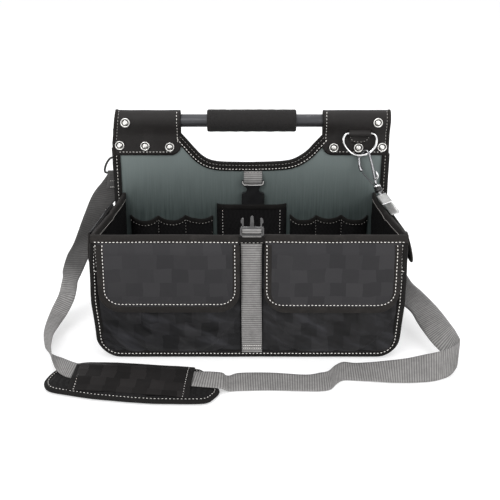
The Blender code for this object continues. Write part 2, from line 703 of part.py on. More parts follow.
def clip():
    clip_strip("clip_plate", (195.6, 49.0, 191.2), (201.2, 24.0, 188.0), 15.0, 1.4)
    clip_strip("clip_lever", (201.9, 21.0, 187.6), (208.0, -14.0, 185.2), 13.0, 1.2)


# ---------------------------------------------------------------- shoulder strap
SHOULDER_Y, SHOULDER_Z = 108.5, 231.0   # line on which the rings hang
# side: (chape middle x, ring points as (x, z))
SHOULDER_RINGS = {
    "left": (-201.0, [
        (-207.0, 231.0), (-201.0, 231.0), (-195.0, 231.0), (-186.5, 227.5),
        (-177.5, 219.5), (-173.6, 210.0), (-177.5, 206.4), (-197.0, 206.4),
        (-217.0, 206.4), (-220.8, 210.0), (-218.0, 220.0), (-212.5, 228.3)]),
    "right": (187.0, [
        (181.0, 231.0), (187.0, 231.0), (193.0, 231.0), (201.0, 227.0),
        (208.0, 218.5), (210.6, 210.0), (207.0, 206.4), (187.0, 206.4),
        (167.0, 206.4), (163.4, 210.0), (166.5, 218.5), (173.5, 227.3)]),
}


def shoulder_rings():
    """On the back: a tape loop on each side, and the ring hanging in it."""
    loop = [(104.9, 216.0), (104.9, 223.0), (105.7, 227.5),
            *arc(SHOULDER_Y, SHOULDER_Z, 2.9, -150, 150, 11),
            (106.3, 237.5), (104.9, 241.0), (104.9, 247.0)]
    for side, (chape_x, points) in SHOULDER_RINGS.items():
        sheet_x(f"shoulder_chape_{side}", loop, chape_x - 6.0, chape_x + 6.0, 1.3, "tape")
        ring = spline([(x, SHOULDER_Y, z) for x, z in points], 2, closed=True)
        wire(f"shoulder_ring_{side}", ring, 1.6, (chape_x, SHOULDER_Y, SHOULDER_Z), cyclic=True)


STRAP_W, STRAP_T = 38.0, 1.6
# Stations along the strap as it lies, from the left ring round the front to the
# right ring: x, y, z of its middle, then the direction across its width.
STRAP_STATIONS = [
    (-201.0, 106.5, 182.0, 1.00, 0.0, 0.0), (-198.5, 106.0, 194.0, 1.00, 0.0, 0.0),
    (-197.0, 105.5, 201.5, 1.00, 0.0, 0.0), (-197.0, 106.0, 207.5, 1.00, 0.0, 0.0),
    (-197.0, 108.5, 209.5, 1.00, 0.0, 0.0), (-197.0, 111.0, 207.5, 1.00, 0.0, 0.0),
    (-199.5, 111.0, 199.5, 0.99, 0.03, -0.12), (-207.5, 110.0, 187.5, 0.97, 0.10, -0.22),
    (-222.0, 105.5, 170.0, 0.98, 0.08, -0.20), (-236.0, 96.0, 146.0, 0.97, 0.22, 0.13),
    (-254.0, 84.0, 106.0, 0.93, 0.28, 0.24), (-265.0, 66.0, 82.5, 0.95, -0.28, 0.12),
    (-270.0, 52.0, 68.5, 0.89, -0.41, 0.18), (-272.0, 38.0, 59.0, 0.73, -0.66, 0.17),
    (-272.5, 22.0, 50.5, 0.78, -0.53, 0.34), (-274.0, 6.0, 43.0, 0.72, -0.69, 0.08),
    (-285.0, 2.5, 22.5, 0.70, -0.71, 0.06), (-288.5, -29.0, 19.5, 0.62, -0.77, 0.16),
    (-289.0, -59.5, 18.5, 0.54, -0.78, 0.32), (-284.5, -88.0, 17.0, 0.44, -0.79, 0.43),
    (-279.5, -107.0, 17.5, 0.36, -0.82, 0.44), (-271.0, -123.0, 13.0, 0.20, -0.95, 0.24),
    (-257.5, -137.0, 10.0, 0.02, -1.00, 0.01), (-234.0, -151.0, 9.0, -0.12, -0.99, 0.0),
    (-194.0, -156.0, 9.0, -0.12, -0.99, 0.0), (-154.0, -161.0, 9.0, -0.13, -0.99, 0.0),
    (-113.5, -166.5, 9.0, -0.13, -0.99, 0.0), (-73.5, -171.5, 9.0, -0.13, -0.99, 0.0),
    (-54.0, -174.0, 9.5, -0.07, -1.00, -0.03), (-37.0, -176.0, 9.0, -0.02, -1.00, -0.03),
    (-31.0, -175.0, 5.0, 0.02, -1.00, 0.0), (-25.0, -171.5, 2.0, 0.02, -1.00, -0.03),
    (-11.0, -170.0, 3.5, 0.04, -0.99, -0.12), (29.0, -169.0, 3.5, 0.02, -0.99, -0.11),
    (75.0, -171.0, 2.5, -0.05, -1.00, -0.05), (95.5, -171.0, 4.0, -0.03, -0.99, -0.14),
    (108.0, -166.5, 4.0, 0.03, -0.99, -0.14), (118.0, -152.5, 4.5, -0.01, -0.99, -0.16),
    (129.0, -143.5, 4.5, -0.05, -0.98, -0.17), (146.5, -144.5, 4.0, 0.01, -0.99, -0.14),
    (166.5, -147.0, 5.5, 0.0, -0.98, -0.20), (186.5, -150.0, 7.5, 0.0, -0.95, -0.32),
    (211.5, -152.5, 10.5, -0.07, -0.88, -0.48), (231.5, -154.0, 14.0, -0.05, -0.75, -0.66),
    (252.0, -154.5, 18.0, -0.02, -0.48, -0.88), (270.0, -146.5, 19.0, -0.07, -0.47, -0.88),
    (282.0, -136.0, 21.0, -0.18, -0.70, -0.69), (289.5, -118.0, 20.0, -0.25, -0.80, -0.55),
    (284.0, -100.0, 21.0, -0.51, -0.65, -0.56), (273.5, -82.0, 28.0, -0.77, -0.36, -0.52),
    (263.5, -52.0, 34.5, -0.88, -0.22, -0.42), (254.0, -18.0, 40.5, -0.84, -0.48, -0.26),
    (244.0, 14.0, 40.5, -0.82, -0.43, -0.39), (237.0, 46.0, 37.0, -0.76, -0.41, -0.50),
    (233.0, 79.0, 40.0, -0.50, -0.50, -0.70), (225.5, 106.0, 46.0, -0.30, -0.51, -0.81),
    (214.5, 122.0, 62.0, -0.75, -0.35, -0.56), (200.0, 123.0, 90.0, -0.97, -0.20, -0.10),
    (190.0, 118.0, 125.0, -1.00, 0.0, 0.0), (187.0, 112.5, 165.0, -1.00, 0.0, 0.0),
    (187.0, 111.5, 192.0, -1.00, 0.0, 0.0), (187.0, 111.0, 203.0, -1.00, 0.0, 0.0),
    (187.0, 111.0, 207.5, -1.00, 0.0, 0.0), (187.0, 108.5, 209.5, -1.00, 0.0, 0.0),
    (187.0, 106.0, 207.5, -1.00, 0.0, 0.0), (187.0, 105.5, 201.5, -1.00, 0.0, 0.0),
    (187.0, 106.5, 192.0, -1.00, 0.0, 0.0), (187.0, 107.0, 180.0, -1.00, 0.0, 0.0),
]


def shoulder_strap():
    centres = spline([station[:3] for station in STRAP_STATIONS], 4)
    edges = spline([station[3:] for station in STRAP_STATIONS], 4)
    sections = []
    for i, (centre, edge) in enumerate(zip(centres, edges)):
        across = edge.normalized()
        normal = tangent(centres, i).cross(across).normalized()
        sections.append(flat_section(centre, across, normal, STRAP_W, STRAP_T))
    loft("shoulder_strap", sections, "webbing")


# (x, y) round the pad, which lies on the ground in front of the bag
PAD_OUTLINE = [
    (-262, -140), (-268, -151), (-272, -164), (-273, -175), (-268, -188), (-259, -195),
    (-244, -200), (-226, -205), (-203, -211), (-179, -215), (-153, -219), (-127, -222),
    (-95, -223), (-63, -223), (-52, -220), (-45, -211), (-39, -199), (-40, -189),
    (-48, -172), (-54, -156), (-62, -144), (-72, -138), (-102, -133), (-136, -129),
    (-164, -126), (-192, -123), (-220, -123), (-241, -128), (-254, -132),
]
# Line of the strap over the pad
SLEEVE_START = Vector((-234.1, -151.0, 0.0))
SLEEVE_END = Vector((-73.4, -171.4, 0.0))
# (across, z) of the sleeve that bridges the strap
SLEEVE_SECTION = [
    (-37, 7.9), (-37, 10.2), (-34, 12.2), (34, 12.2), (37, 10.2), (37, 7.9),
    (21.5, 7.9), (21.5, 10.5), (-21.5, 10.5), (-21.5, 7.9),
]


def shoulder_pad():
    plate("shoulder_pad", PAD_OUTLINE, 6.8, lying(4.0), "fabric")
    along = (SLEEVE_END - SLEEVE_START).normalized()
    across = Vector((-along.y, along.x, 0))
    sections = [[SLEEVE_START + along * distance + across * a + Vector((0, 0, z))
                 for a, z in SLEEVE_SECTION] for distance in (-1.0, 81.0, 160.0)]
    loft("pad_sleeve", sections, "fabric")


# ---------------------------------------------------------------- build
front_panel()
bottom()
front_bindings()
back_layers = back_panel()
back_bindings()
ears = handle_ears()
tube = handle_tube()
handle_grip()
cut_rivet_holes([*ears, *back_layers, tube])
rivets()
for pocket_spec in POCKETS:
    pocket(*pocket_spec)
front_flap("front_flap_left", -205.0, -12.4)
front_flap("front_flap_right", 21.0, 205.0)
for bag_side in SIDES:
    gusset(bag_side)
    side_pocket(bag_side)
    side_flap(bag_side)
front_strap()
male_buckle()
female_buckle()
key_ring()
snap_hook()
clip()
shoulder_rings()
shoulder_strap()
shoulder_pad()
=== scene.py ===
"""Looks for a garden tool bag: cloth, tapes, stitching, webbing, leather and metal built
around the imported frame.

The bag stands on the floor (z = 0). Its front faces -Y, its left side is at -X, and the
handle runs along X over the back panel."""
import math
from functools import cached_property

import bmesh
import bpy
import numpy as np
from mathutils import Matrix, Vector, noise

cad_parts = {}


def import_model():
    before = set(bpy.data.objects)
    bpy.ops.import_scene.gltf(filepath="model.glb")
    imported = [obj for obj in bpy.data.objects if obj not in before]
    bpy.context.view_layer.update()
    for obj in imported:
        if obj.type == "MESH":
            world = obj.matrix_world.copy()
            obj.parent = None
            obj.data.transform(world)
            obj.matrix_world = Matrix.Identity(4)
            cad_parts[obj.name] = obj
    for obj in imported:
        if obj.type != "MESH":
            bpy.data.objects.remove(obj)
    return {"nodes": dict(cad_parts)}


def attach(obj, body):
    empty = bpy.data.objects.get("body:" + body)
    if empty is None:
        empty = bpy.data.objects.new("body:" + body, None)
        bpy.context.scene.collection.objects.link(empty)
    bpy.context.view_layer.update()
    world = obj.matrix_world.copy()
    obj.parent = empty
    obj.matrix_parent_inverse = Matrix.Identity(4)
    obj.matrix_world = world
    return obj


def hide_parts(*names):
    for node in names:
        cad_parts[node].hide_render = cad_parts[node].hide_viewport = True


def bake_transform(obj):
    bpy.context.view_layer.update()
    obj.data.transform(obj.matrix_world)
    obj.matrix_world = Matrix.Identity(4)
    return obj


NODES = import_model()["nodes"]
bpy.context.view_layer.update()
MM = 0.001
COLLECTION = bpy.context.scene.collection
RNG = np.random.default_rng(7)


def vec(*parts):
    return np.array(parts, float)


LEFTWARD, RIGHTWARD = vec(-1, 0, 0), vec(1, 0, 0)
FORWARD, REARWARD = vec(0, -1, 0), vec(0, 1, 0)
UP, DOWNWARD = vec(0, 0, 1), vec(0, 0, -1)
SIDES = ((-1, "left"), (1, "right"))

# ============================================================ the bag's main measures
FRONT_HALF = 212.0      # half width of the front wall
REAR_HALF = 192.0       # half width where the side walls meet the back
HALF_DEPTH = 93.6       # half depth of the side walls
CORNER_R = 28.0         # radius of the lower corners
RIM_Z = 184.0           # top of the front wall
BACK_LEFT, BACK_RIGHT = -204.5, 210.3
BACK_Y = 97.8           # middle of the back panel's thickness
TUBE_Y, TUBE_Z, TUBE_R = BACK_Y, 291.0, 9.5
SIDE_TILT = math.atan2(FRONT_HALF - REAR_HALF, 2 * HALF_DEPTH)

# ============================================================ materials


def scaled(color, factor, add=0.0):
    return tuple(v * factor + add for v in color)


class Shader:
    """Builds a material around its Principled node. Masks run 0..1."""

    def __init__(self, name, rough=0.7, metal=0.0, spec=0.4):
        self.material = bpy.data.materials.new(name)
        self.material.use_nodes = True
        self.tree = self.material.node_tree
        self.inputs = self.tree.nodes["Principled BSDF"].inputs
        self.inputs["Roughness"].default_value = rough
        self.inputs["Metallic"].default_value = metal
        self.inputs["Specular IOR Level"].default_value = spec
        self.last_bump = None

    def put(self, socket, value):
        if isinstance(value, bpy.types.NodeSocket):
            self.tree.links.new(value, socket)
        else:
            socket.default_value = value

    def node(self, kind, inputs=(), **props):
        """inputs is a sequence, or a dict keyed by socket name or number."""
        made = self.tree.nodes.new("ShaderNode" + kind)
        for key, value in props.items():
            setattr(made, key, value)
        for key, value in inputs.items() if isinstance(inputs, dict) else enumerate(inputs):
            self.put(made.inputs[key], value)
        return made

    @cached_property
    def obj(self):
        return self.node("TexCoord").outputs["Object"]

    @cached_property
    def uv(self):
        return self.node("UVMap", uv_map="UVMap").outputs["UV"]

    def calc(self, operation, a, b=0.0, c=0.0):
        return self.node("Math", (a, b, c), operation=operation).outputs[0]

    def add(self, a, b):
        return self.calc("ADD", a, b)

    def mul(self, a, b):
        return self.calc("MULTIPLY", a, b)

    def split(self, vector):
        return self.node("SeparateXYZ", (vector,)).outputs

    def join(self, x, y):
        return self.node("CombineXYZ", (x, y, 0.0)).outputs[0]

    def noise(self, vector, scale, detail=3.0, rough=0.55, stretch=None):
        if stretch:
            vector = self.node("Mapping", {0: vector, "Scale": stretch}).outputs[0]
        return self.node("TexNoise", {"Vector": vector, "Scale": scale, "Detail": detail,
                                      "Roughness": rough}).outputs["Fac"]

    def voronoi(self, scale, feature="F1"):
        return self.node("TexVoronoi", {"Vector": self.obj, "Scale": scale},
                         feature=feature).outputs["Distance"]

    def random(self, x, y):
        return self.node("TexWhiteNoise", {"Vector": self.join(x, y)},
                         noise_dimensions="2D").outputs["Value"]

    def mix_color(self, mask, a, b):
        a, b = ((*c, 1.0) if isinstance(c, tuple) else c for c in (a, b))
        return self.node("Mix", {0: mask, 6: a, 7: b}, data_type="RGBA").outputs[2]

    def over(self, color, layer, mask, amount):
        """color with layer laid over it, as strong as mask times amount."""
        return self.mix_color(self.mul(mask, amount), color, layer)

    def mix(self, mask, at_0, at_1):
        return self.node("Mix", {0: mask, 2: at_0, 3: at_1}, data_type="FLOAT").outputs[0]

    def mask(self, value, low, high, top=1.0):
        """0 where value is low, rising to top where it is high."""
        return self.node("MapRange", (value, low, high, 0.0, top)).outputs[0]

    def wave(self, x, pitch):
        """0..1 sine of a coordinate in metres; pitch in mm."""
        angle = self.mul(x, 2 * math.pi / (pitch * MM))
        return self.calc("MULTIPLY_ADD", self.calc("SINE", angle), 0.5, 0.5)

    def color(self, socket):
        self.put(self.inputs["Base Color"], socket)

    def rough(self, mask, at_0, at_1):
        self.put(self.inputs["Roughness"], self.mix(mask, at_0, at_1))

    def bump(self, height, depth, strength):
        """Height 0..1 times depth in mm; later calls add to earlier ones."""
        inputs = {"Strength": strength, "Distance": depth * MM, "Height": height}
        if self.last_bump:
            inputs["Normal"] = self.last_bump
        self.last_bump = self.node("Bump", inputs).outputs[0]
        self.put(self.inputs["Normal"], self.last_bump)

    def sheen(self, weight, rough=0.5):
        self.inputs["Sheen Weight"].default_value = weight
        self.inputs["Sheen Roughness"].default_value = rough
        self.inputs["Sheen Tint"].default_value = (1.0, 1.0, 1.0, 1.0)


def block_cloth(name, dark, light, rough=(0.5, 0.7), block=(23.0, 20.0), dust=0.12,
                spec=0.16, rib=0.22, sheen=0.02, uneven=0.3, painted_fold_light=0.0):
    """Nylon woven in offset blocks: neighbouring blocks run their ribs crossways and so
    catch the light differently. block is a block's width and height in mm."""
    s = Shader(name, spec=spec)
    x, y = s.split(s.uv)[:2]
    drift = s.mul(s.calc("SUBTRACT", s.noise(s.uv, scale=22.0, detail=2.0), 0.5),
                  0.003 + 0.010 * uneven)
    width, height = block[0] * MM, block[1] * MM
    row = s.calc("FLOOR", s.calc("DIVIDE", s.add(y, drift), height))
    shifted = s.add(s.add(x, drift), s.mul(s.random(row, 7.0), 2.0 * width))
    col = s.calc("FLOOR", s.calc("DIVIDE", shifted, width))
    parity = s.calc("MODULO", s.calc("ABSOLUTE", s.add(s.add(row, col), 100.0)), 2.0)
    tone = s.add(s.mul(parity, 0.62 - 0.3 * uneven),
                 s.mul(s.random(col, row), 0.38 + 0.3 * uneven))
    ribs = s.mix(parity, s.wave(x, pitch=0.95), s.wave(y, pitch=0.95))
    fine = s.mix(parity, s.wave(y, pitch=0.55), s.wave(x, pitch=0.55))
    dusty = s.mask(s.noise(s.obj, scale=9.0, detail=5.0, rough=0.65), low=0.45, high=0.8)
    c = s.mix_color(tone, dark, light)
    c = s.over(c, scaled(light, 1.9), ribs, rib)
    if painted_fold_light:
        # painted light and shade for soft slanting creases in the slack cloth: pale streaks
        # are painted highlights on the folds, dark streaks painted shade between them
        across = s.add(s.mul(x, 0.90), s.mul(y, -0.43))
        along = s.add(s.mul(x, 0.43), s.mul(y, 0.90))
        streak = s.noise(s.join(s.mul(across, 16.0), s.mul(along, 62.0)),
                         scale=1.0, detail=2.5, rough=0.5)
        c = s.over(c, (0.042, 0.042, 0.048), s.mask(streak, low=0.52, high=0.72), painted_fold_light)
        c = s.over(c, (0.0015, 0.0015, 0.0016), s.mask(streak, low=0.48, high=0.32), painted_fold_light)
    s.color(s.over(c, (0.06, 0.057, 0.055), dusty, dust))
    s.rough(tone, at_0=rough[1], at_1=rough[0])
    s.bump(ribs, depth=0.10, strength=0.8)
    s.bump(fine, depth=0.05, strength=0.5)
    s.bump(s.noise(s.obj, scale=60.0), depth=0.5, strength=0.35)
    s.sheen(sheen)
    return s.material


def tape_material(name, base, light):
    """Ribbed grosgrain tape, scuffed lighter in places."""
    s = Shader(name, spec=0.14)
    x, y = s.split(s.uv)[:2]
    rib = s.wave(x, pitch=1.15)
    weft = s.wave(y, pitch=0.8)
    n = s.noise(s.obj, scale=45.0, detail=4.0, rough=0.7)
    c = s.over(base, light, rib, 0.55)
    s.color(s.over(c, scaled(light, 2.0), s.mask(n, low=0.5, high=0.8), 0.35))
    s.rough(n, at_0=0.62, at_1=0.88)
    s.bump(rib, depth=0.16, strength=0.9)
    s.bump(weft, depth=0.06, strength=0.5)
    s.sheen(0.02)
    return s.material


def webbing_material(name, base, dark, light):
    """Polyester webbing: cross ribs with a fine chevron between them."""
    s = Shader(name, spec=0.3)
    x, y = s.split(s.uv)[:2]
    rib = s.wave(x, pitch=3.3)
    chevron = s.wave(s.add(x, s.calc("PINGPONG", y, 0.0022)), pitch=1.1)
    yarn = s.wave(y, pitch=1.05)
    n = s.noise(s.obj, scale=120.0, detail=4.0, rough=0.7)
    patches = s.noise(s.obj, scale=12.0, rough=0.6)
    # the grooves between the ribs are painted darker: painted shade
    c = s.mix_color(s.calc("POWER", rib, 0.75), dark, base)
    c = s.over(c, light, yarn, 0.30)
    c = s.over(c, dark, s.mask(n, low=0.4, high=0.75), 0.35)
    c = s.over(c, dark, s.mask(patches, low=0.35, high=0.75), 0.25)
    # painted shade: the lengths beyond the bag's left side and by its right rear, which face
    # away from the light, are darker
    ox, oy, oz = s.split(s.obj)[:3]
    left = s.mul(s.mask(ox, low=-0.195, high=-0.205), s.mask(oz, low=0.048, high=0.075))
    right = s.mul(s.mask(ox, low=0.20, high=0.215), s.mask(oy, low=-0.02, high=0.07))
    painted_shade = s.calc("MAXIMUM", left, s.mul(right, 0.5))
    s.color(s.over(c, scaled(base, 0.10), painted_shade, 0.80))
    s.rough(n, at_0=0.6, at_1=0.85)
    s.bump(rib, depth=0.2, strength=0.7)
    s.bump(chevron, depth=0.08, strength=0.6)
    s.bump(yarn, depth=0.06, strength=0.5)
    s.sheen(0.05, rough=0.4)
    return s.material


def lining_material():
    """Coated lining: a very fine plain weave with a brushed vertical cast."""
    s = Shader("lining_grey", spec=0.35)
    x, y = s.split(s.uv)[:2]
    weave = s.mul(s.wave(x, pitch=0.6), s.wave(y, pitch=0.6))
    streak = s.noise(s.uv, scale=30.0, detail=5.0, rough=0.6, stretch=(14.0, 0.6, 1.0))
    blot = s.noise(s.obj, scale=7.0, rough=0.5)
    # painted shade: the lining darkens towards the bottom, deep inside the bag
    z = s.split(s.obj)[2]
    c = s.mix_color(s.mask(z, low=0.145, high=0.25),
                    (0.032, 0.045, 0.043), (0.172, 0.206, 0.200))
    c = s.over(c, (0.19, 0.225, 0.22), s.mask(streak, low=0.3, high=0.7), 0.22)
    c = s.over(c, (0.07, 0.09, 0.088), s.mask(blot, low=0.45, high=0.8), 0.25)
    s.color(s.over(c, (0.06, 0.075, 0.075), weave, 0.18))
    s.rough(streak, at_0=0.48, at_1=0.62)
    s.bump(weave, depth=0.06, strength=0.6)
    s.bump(blot, depth=1.2, strength=0.25)
    return s.material


def leather_material():
    s = Shader("leather_black", spec=0.22)
    grain = s.voronoi(scale=1100.0)
    pebble = s.voronoi(scale=420.0, feature="SMOOTH_F1")
    n = s.noise(s.obj, scale=30.0, detail=5.0, rough=0.65)
    c = s.mix_color(s.mask(grain, low=0.0, high=0.6),
                    (0.0065, 0.0058, 0.0056), (0.0155, 0.0138, 0.0132))
    s.color(s.over(c, (0.034, 0.031, 0.030), s.mask(n, low=0.5, high=0.78), 0.4))
    s.rough(n, at_0=0.46, at_1=0.66)
    s.bump(grain, depth=0.10, strength=0.55)
    s.bump(pebble, depth=0.2, strength=0.35)
    s.bump(n, depth=0.6, strength=0.25)
    return s.material


def foam_material():
    s = Shader("grip_foam", spec=0.15)
    cell = s.voronoi(scale=900.0)
    n = s.noise(s.obj, scale=40.0, detail=4.0, rough=0.6)
    s.color(s.mix_color(s.mask(cell, low=0.1, high=0.6),
                        (0.0075, 0.0073, 0.0072), (0.0215, 0.0202, 0.0198)))
    s.rough(n, at_0=0.82, at_1=0.95)
    s.bump(cell, depth=0.18, strength=0.6)
    s.bump(n, depth=0.5, strength=0.3)
    s.sheen(0.03)
    return s.material


def paint_material(name, base, rough=0.32, metal=0.55):
    """Powder coat: fine orange peel, rubbed lighter in places."""
    s = Shader(name, metal=metal, spec=0.5)
    peel = s.noise(s.obj, scale=700.0, detail=2.0)
    wear = s.noise(s.obj, scale=55.0, detail=5.0, rough=0.75)
    s.color(s.mix_color(s.mask(wear, low=0.60, high=0.75, top=0.5),
                        base, scaled(base, 2.6, add=0.03)))
    s.rough(wear, at_0=rough, at_1=rough + 0.2)
    s.bump(peel, depth=0.05, strength=0.5)
    return s.material


def plated_material(name, base, rough, rim=None):
    """Plated metal with faint scratches and a little dulling. rim is the range of the
    facing value over which it darkens towards its outline: a painted dark reflection."""
    s = Shader(name, metal=1.0)
    n = s.noise(s.obj, scale=160.0, detail=5.0, rough=0.7)
    scratch = s.noise(s.obj, scale=380.0, detail=2.0, rough=0.5, stretch=(1.0, 7.0, 0.4))
    c = s.mix_color(s.mask(n, low=0.45, high=0.8, top=0.6), base, scaled(base, 0.62))
    if rim:
        # painted reflection: the outline is darkened as if it mirrored dark surroundings
        facing = s.node("LayerWeight", {"Blend": 0.5}).outputs["Facing"]
        c = s.mix_color(s.mask(facing, *rim, top=0.93), c, (0.012, 0.012, 0.013))
    s.color(c)
    s.rough(n, at_0=rough * 0.7, at_1=rough * 2.6)
    s.bump(scratch, depth=0.025, strength=0.5)
    return s.material


def plastic_material(name, base, rough):
    """Moulded plastic with a fine eroded texture."""
    s = Shader(name, spec=0.5)
    grain = s.noise(s.obj, scale=1500.0, detail=2.0)
    n = s.noise(s.obj, scale=70.0, detail=4.0, rough=0.6)
    s.color(s.mix_color(s.mask(n, low=0.4, high=0.75, top=0.6),
                        base, scaled(base, 1.5, add=0.004)))
    s.rough(n, at_0=rough - 0.06, at_1=rough + 0.14)
    s.bump(grain, depth=0.06, strength=0.45)
    return s.material


def thread_material(name, base):
    s = Shader(name, rough=0.62, spec=0.35)
    x, y = s.split(s.uv)[:2]
    twist = s.wave(s.add(x, s.mul(y, 0.6)), pitch=0.7)
    n = s.noise(s.obj, scale=260.0, rough=0.6)
    c = s.mix_color(twist, scaled(base, 0.72), base)
    s.color(s.over(c, scaled(base, 0.5), n, 0.2))
    s.bump(twist, depth=0.12, strength=0.6)
    s.sheen(0.2, rough=0.4)
    return s.material


CLOTH_FLAP = block_cloth("cloth_flap", dark=(0.0195, 0.0190, 0.0205),
                         light=(0.0290, 0.0280, 0.0300), rib=0.16, uneven=0.75)
CLOTH_BODY = block_cloth("cloth_body", dark=(0.0036, 0.0036, 0.0041),
                         light=(0.0150, 0.0147, 0.0160), rough=(0.40, 0.66), uneven=0.5)
CLOTH_SLACK = block_cloth("cloth_slack", dark=(0.0032, 0.0032, 0.0036),
                          light=(0.0150, 0.0146, 0.0160), rough=(0.38, 0.62), uneven=0.8,
                          painted_fold_light=0.6)
CLOTH_PAD = block_cloth("cloth_pad", dark=(0.0045, 0.0041, 0.0040),
                        light=(0.0150, 0.0135, 0.0132), rough=(0.5, 0.75),
                        block=(20.0, 17.0), spec=0.09, uneven=0.5)
CLOTH_INSIDE = block_cloth("cloth_inside", dark=(0.0058, 0.0056, 0.0058),
                           light=(0.0098, 0.0094, 0.0098), rough=(0.6, 0.75),
                           block=(3.0, 3.0), spec=0.07, dust=0.05, sheen=0.0)
CLOTH_PAD_EDGE = block_cloth("cloth_pad_edge", dark=(0.0052, 0.0050, 0.0050),
                             light=(0.0085, 0.0082, 0.0082), rough=(0.6, 0.75),
                             block=(4.0, 4.0), spec=0.09)
TAPE = tape_material("tape_black", base=(0.0050, 0.0045, 0.0042),
                     light=(0.0130, 0.0120, 0.0112))
TAPE_RIM = tape_material("tape_rim", base=(0.0110, 0.0098, 0.0091),
                         light=(0.0300, 0.0268, 0.0248))
WEBBING = webbing_material("webbing_grey", base=(0.300, 0.292, 0.284),
                           dark=(0.060, 0.058, 0.057), light=(0.45, 0.44, 0.43))
LINING = lining_material()
LEATHER = leather_material()
FOAM = foam_material()
PAINT = paint_material("handle_paint", base=(0.050, 0.051, 0.055))
WIRE = paint_material("black_wire", base=(0.018, 0.018, 0.018), rough=0.35, metal=0.3)
CHROME = plated_material("chrome", base=(0.82, 0.82, 0.82), rough=0.10, rim=(0.45, 0.85))
# darker copies of the chrome for the hook, its jaw rail and the gate wire: painted dark
# reflections and painted shade
CHROME_PAINTED_DARK = plated_material("chrome_painted_dark", base=(0.34, 0.34, 0.35), rough=0.14,
                              rim=(0.05, 0.42))
CHROME_SHADED = plated_material("chrome_shaded", base=(0.10, 0.10, 0.105), rough=0.2,
                                rim=(0.1, 0.7))
CHROME_BRUSHED = plated_material("chrome_brushed", base=(0.50, 0.50, 0.49), rough=0.22,
                                 rim=(0.55, 0.95))
RIVET_PLATE = plated_material("rivet_plate", base=(0.86, 0.85, 0.82), rough=0.16)
RIVET_OXIDE = plated_material("rivet_oxide", base=(0.045, 0.042, 0.040), rough=0.35)
PLASTIC = plastic_material("plastic_black", base=(0.0085, 0.0085, 0.009), rough=0.30)
PLASTIC_GREY = plastic_material("plastic_grey", base=(0.050, 0.049, 0.049), rough=0.22)
# pale plastic for a painted highlight on the female buckle's frame
PLASTIC_HIGHLIGHT = plastic_material("plastic_painted_highlight", base=(0.55, 0.54, 0.53), rough=0.3)
THREAD = thread_material("thread_pale", base=(1.0, 0.97, 0.92))
THREAD_DIM = thread_material("thread_dim", base=(0.50, 0.48, 0.45))
BOARD = block_cloth("board_cover.001", dark=(0.011, 0.0108, 0.0112),
                    light=(0.016, 0.0155, 0.016), block=(5.0, 5.0))


def set_slot(ob):
    name = ob.data.materials[0].name.split(".")[0]


# ============================================================ paths and outlines


def unit(v):
    v = np.asarray(v, float)
    return v / np.maximum(np.linalg.norm(v, axis=-1, keepdims=True), 1e-9)


def wobble(point, size, amount, seed=0.0):
    """Smooth noise for a point: size is its grain in mm, amount its height."""
    x, y, z = (v / size for v in point)
    return amount * noise.noise(Vector((x + seed, y - seed, z + 2 * seed)))


def spline(points, per_span=8, closed=False):
    """Catmull-Rom curve through the points."""
    P = np.asarray(points, float)
    if closed:
        Q = np.vstack([P[-1:], P, P[:2]])
    else:
        Q = np.vstack([2 * P[0] - P[1], P, 2 * P[-1] - P[-2]])
    curve = []
    for i in range(1, len(Q) - 2):
        a, b, c, d = Q[i - 1:i + 3]
        for k in range(per_span):
            t = k / per_span
            curve.append(0.5 * (2 * b + (c - a) * t + (2 * a - 5 * b + 4 * c - d) * t * t
                                + (3 * b - 3 * c + d - a) * t ** 3))
    if not closed:
        curve.append(P[-1])
    return np.array(curve)


def run_length(points):
    """Length travelled along a polyline at each of its points."""
    steps = np.linalg.norm(np.diff(np.asarray(points, float), axis=0), axis=1)
    return np.concatenate([[0], np.cumsum(steps)])


def resample(points, step, closed=False):
    """Even steps along a polyline; columns after the third are carried along."""
    P = np.asarray(points, float)
    if closed:
        P = np.vstack([P, P[:1]])
    length = run_length(P[:, :3])
    count = max(2, int(round(length[-1] / step)))
    stops = np.linspace(0, length[-1], count + 1)
    even = np.stack([np.interp(stops, length, column) for column in P.T], 1)
    return even[:-1] if closed else even


def tangents(path, closed=False):
    if closed:
        return unit(np.roll(path, -1, 0) - np.roll(path, 1, 0))
    return unit(np.gradient(path, axis=0))


def edge_normals(path, across, closed=False):
    """Directions square to the path and to across."""
    return unit(np.cross(tangents(path, closed), across))


def outward_below(path, across):
    """Edge normals that point down at the middle of the path."""
    out = edge_normals(path, across)
    return -out if out[len(out) // 2][2] > 0 else out


def arc(cx, cy, r, start, end, steps):
    angles = [math.radians(start + (end - start) * i / steps) for i in range(steps + 1)]
    return [(cx + r * math.cos(a), cy + r * math.sin(a)) for a in angles]


def u_outline(x0, x1, top, low, r, steps=10):
    """A panel open at the top with two round lower corners."""
    return ([(x0, top)] + arc(x0 + r, low + r, r, 180, 270, steps)
            + arc(x1 - r, low + r, r, 270, 360, steps) + [(x1, top)])


def span(x0, x1, y, z):
    return [vec(x0, y, z), vec(x1, y, z)]


def outline_distance(points, outline):
    """Distance from points (n, 2) to a closed outline."""
    corners = np.asarray(outline, float)
    nearest = np.full(len(points), 1e9)
    for a, b in zip(corners, np.roll(corners, -1, 0)):
        ab = b - a
        t = np.clip(((points - a) @ ab) / max(ab @ ab, 1e-9), 0, 1)
        nearest = np.minimum(nearest, np.linalg.norm(points - (a + t[:, None] * ab), axis=1))
    return nearest


# ============================================================ meshes


def finish(ob, body, mat, replaces=()):
    """Gives the material and tells the frame what the object rides on and stands for."""
    if not ob.data.materials:
        ob.data.materials.append(mat)
    if body is not None:
        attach(ob, body)
    if replaces:
        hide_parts(*replaces)
    set_slot(ob)
    return ob


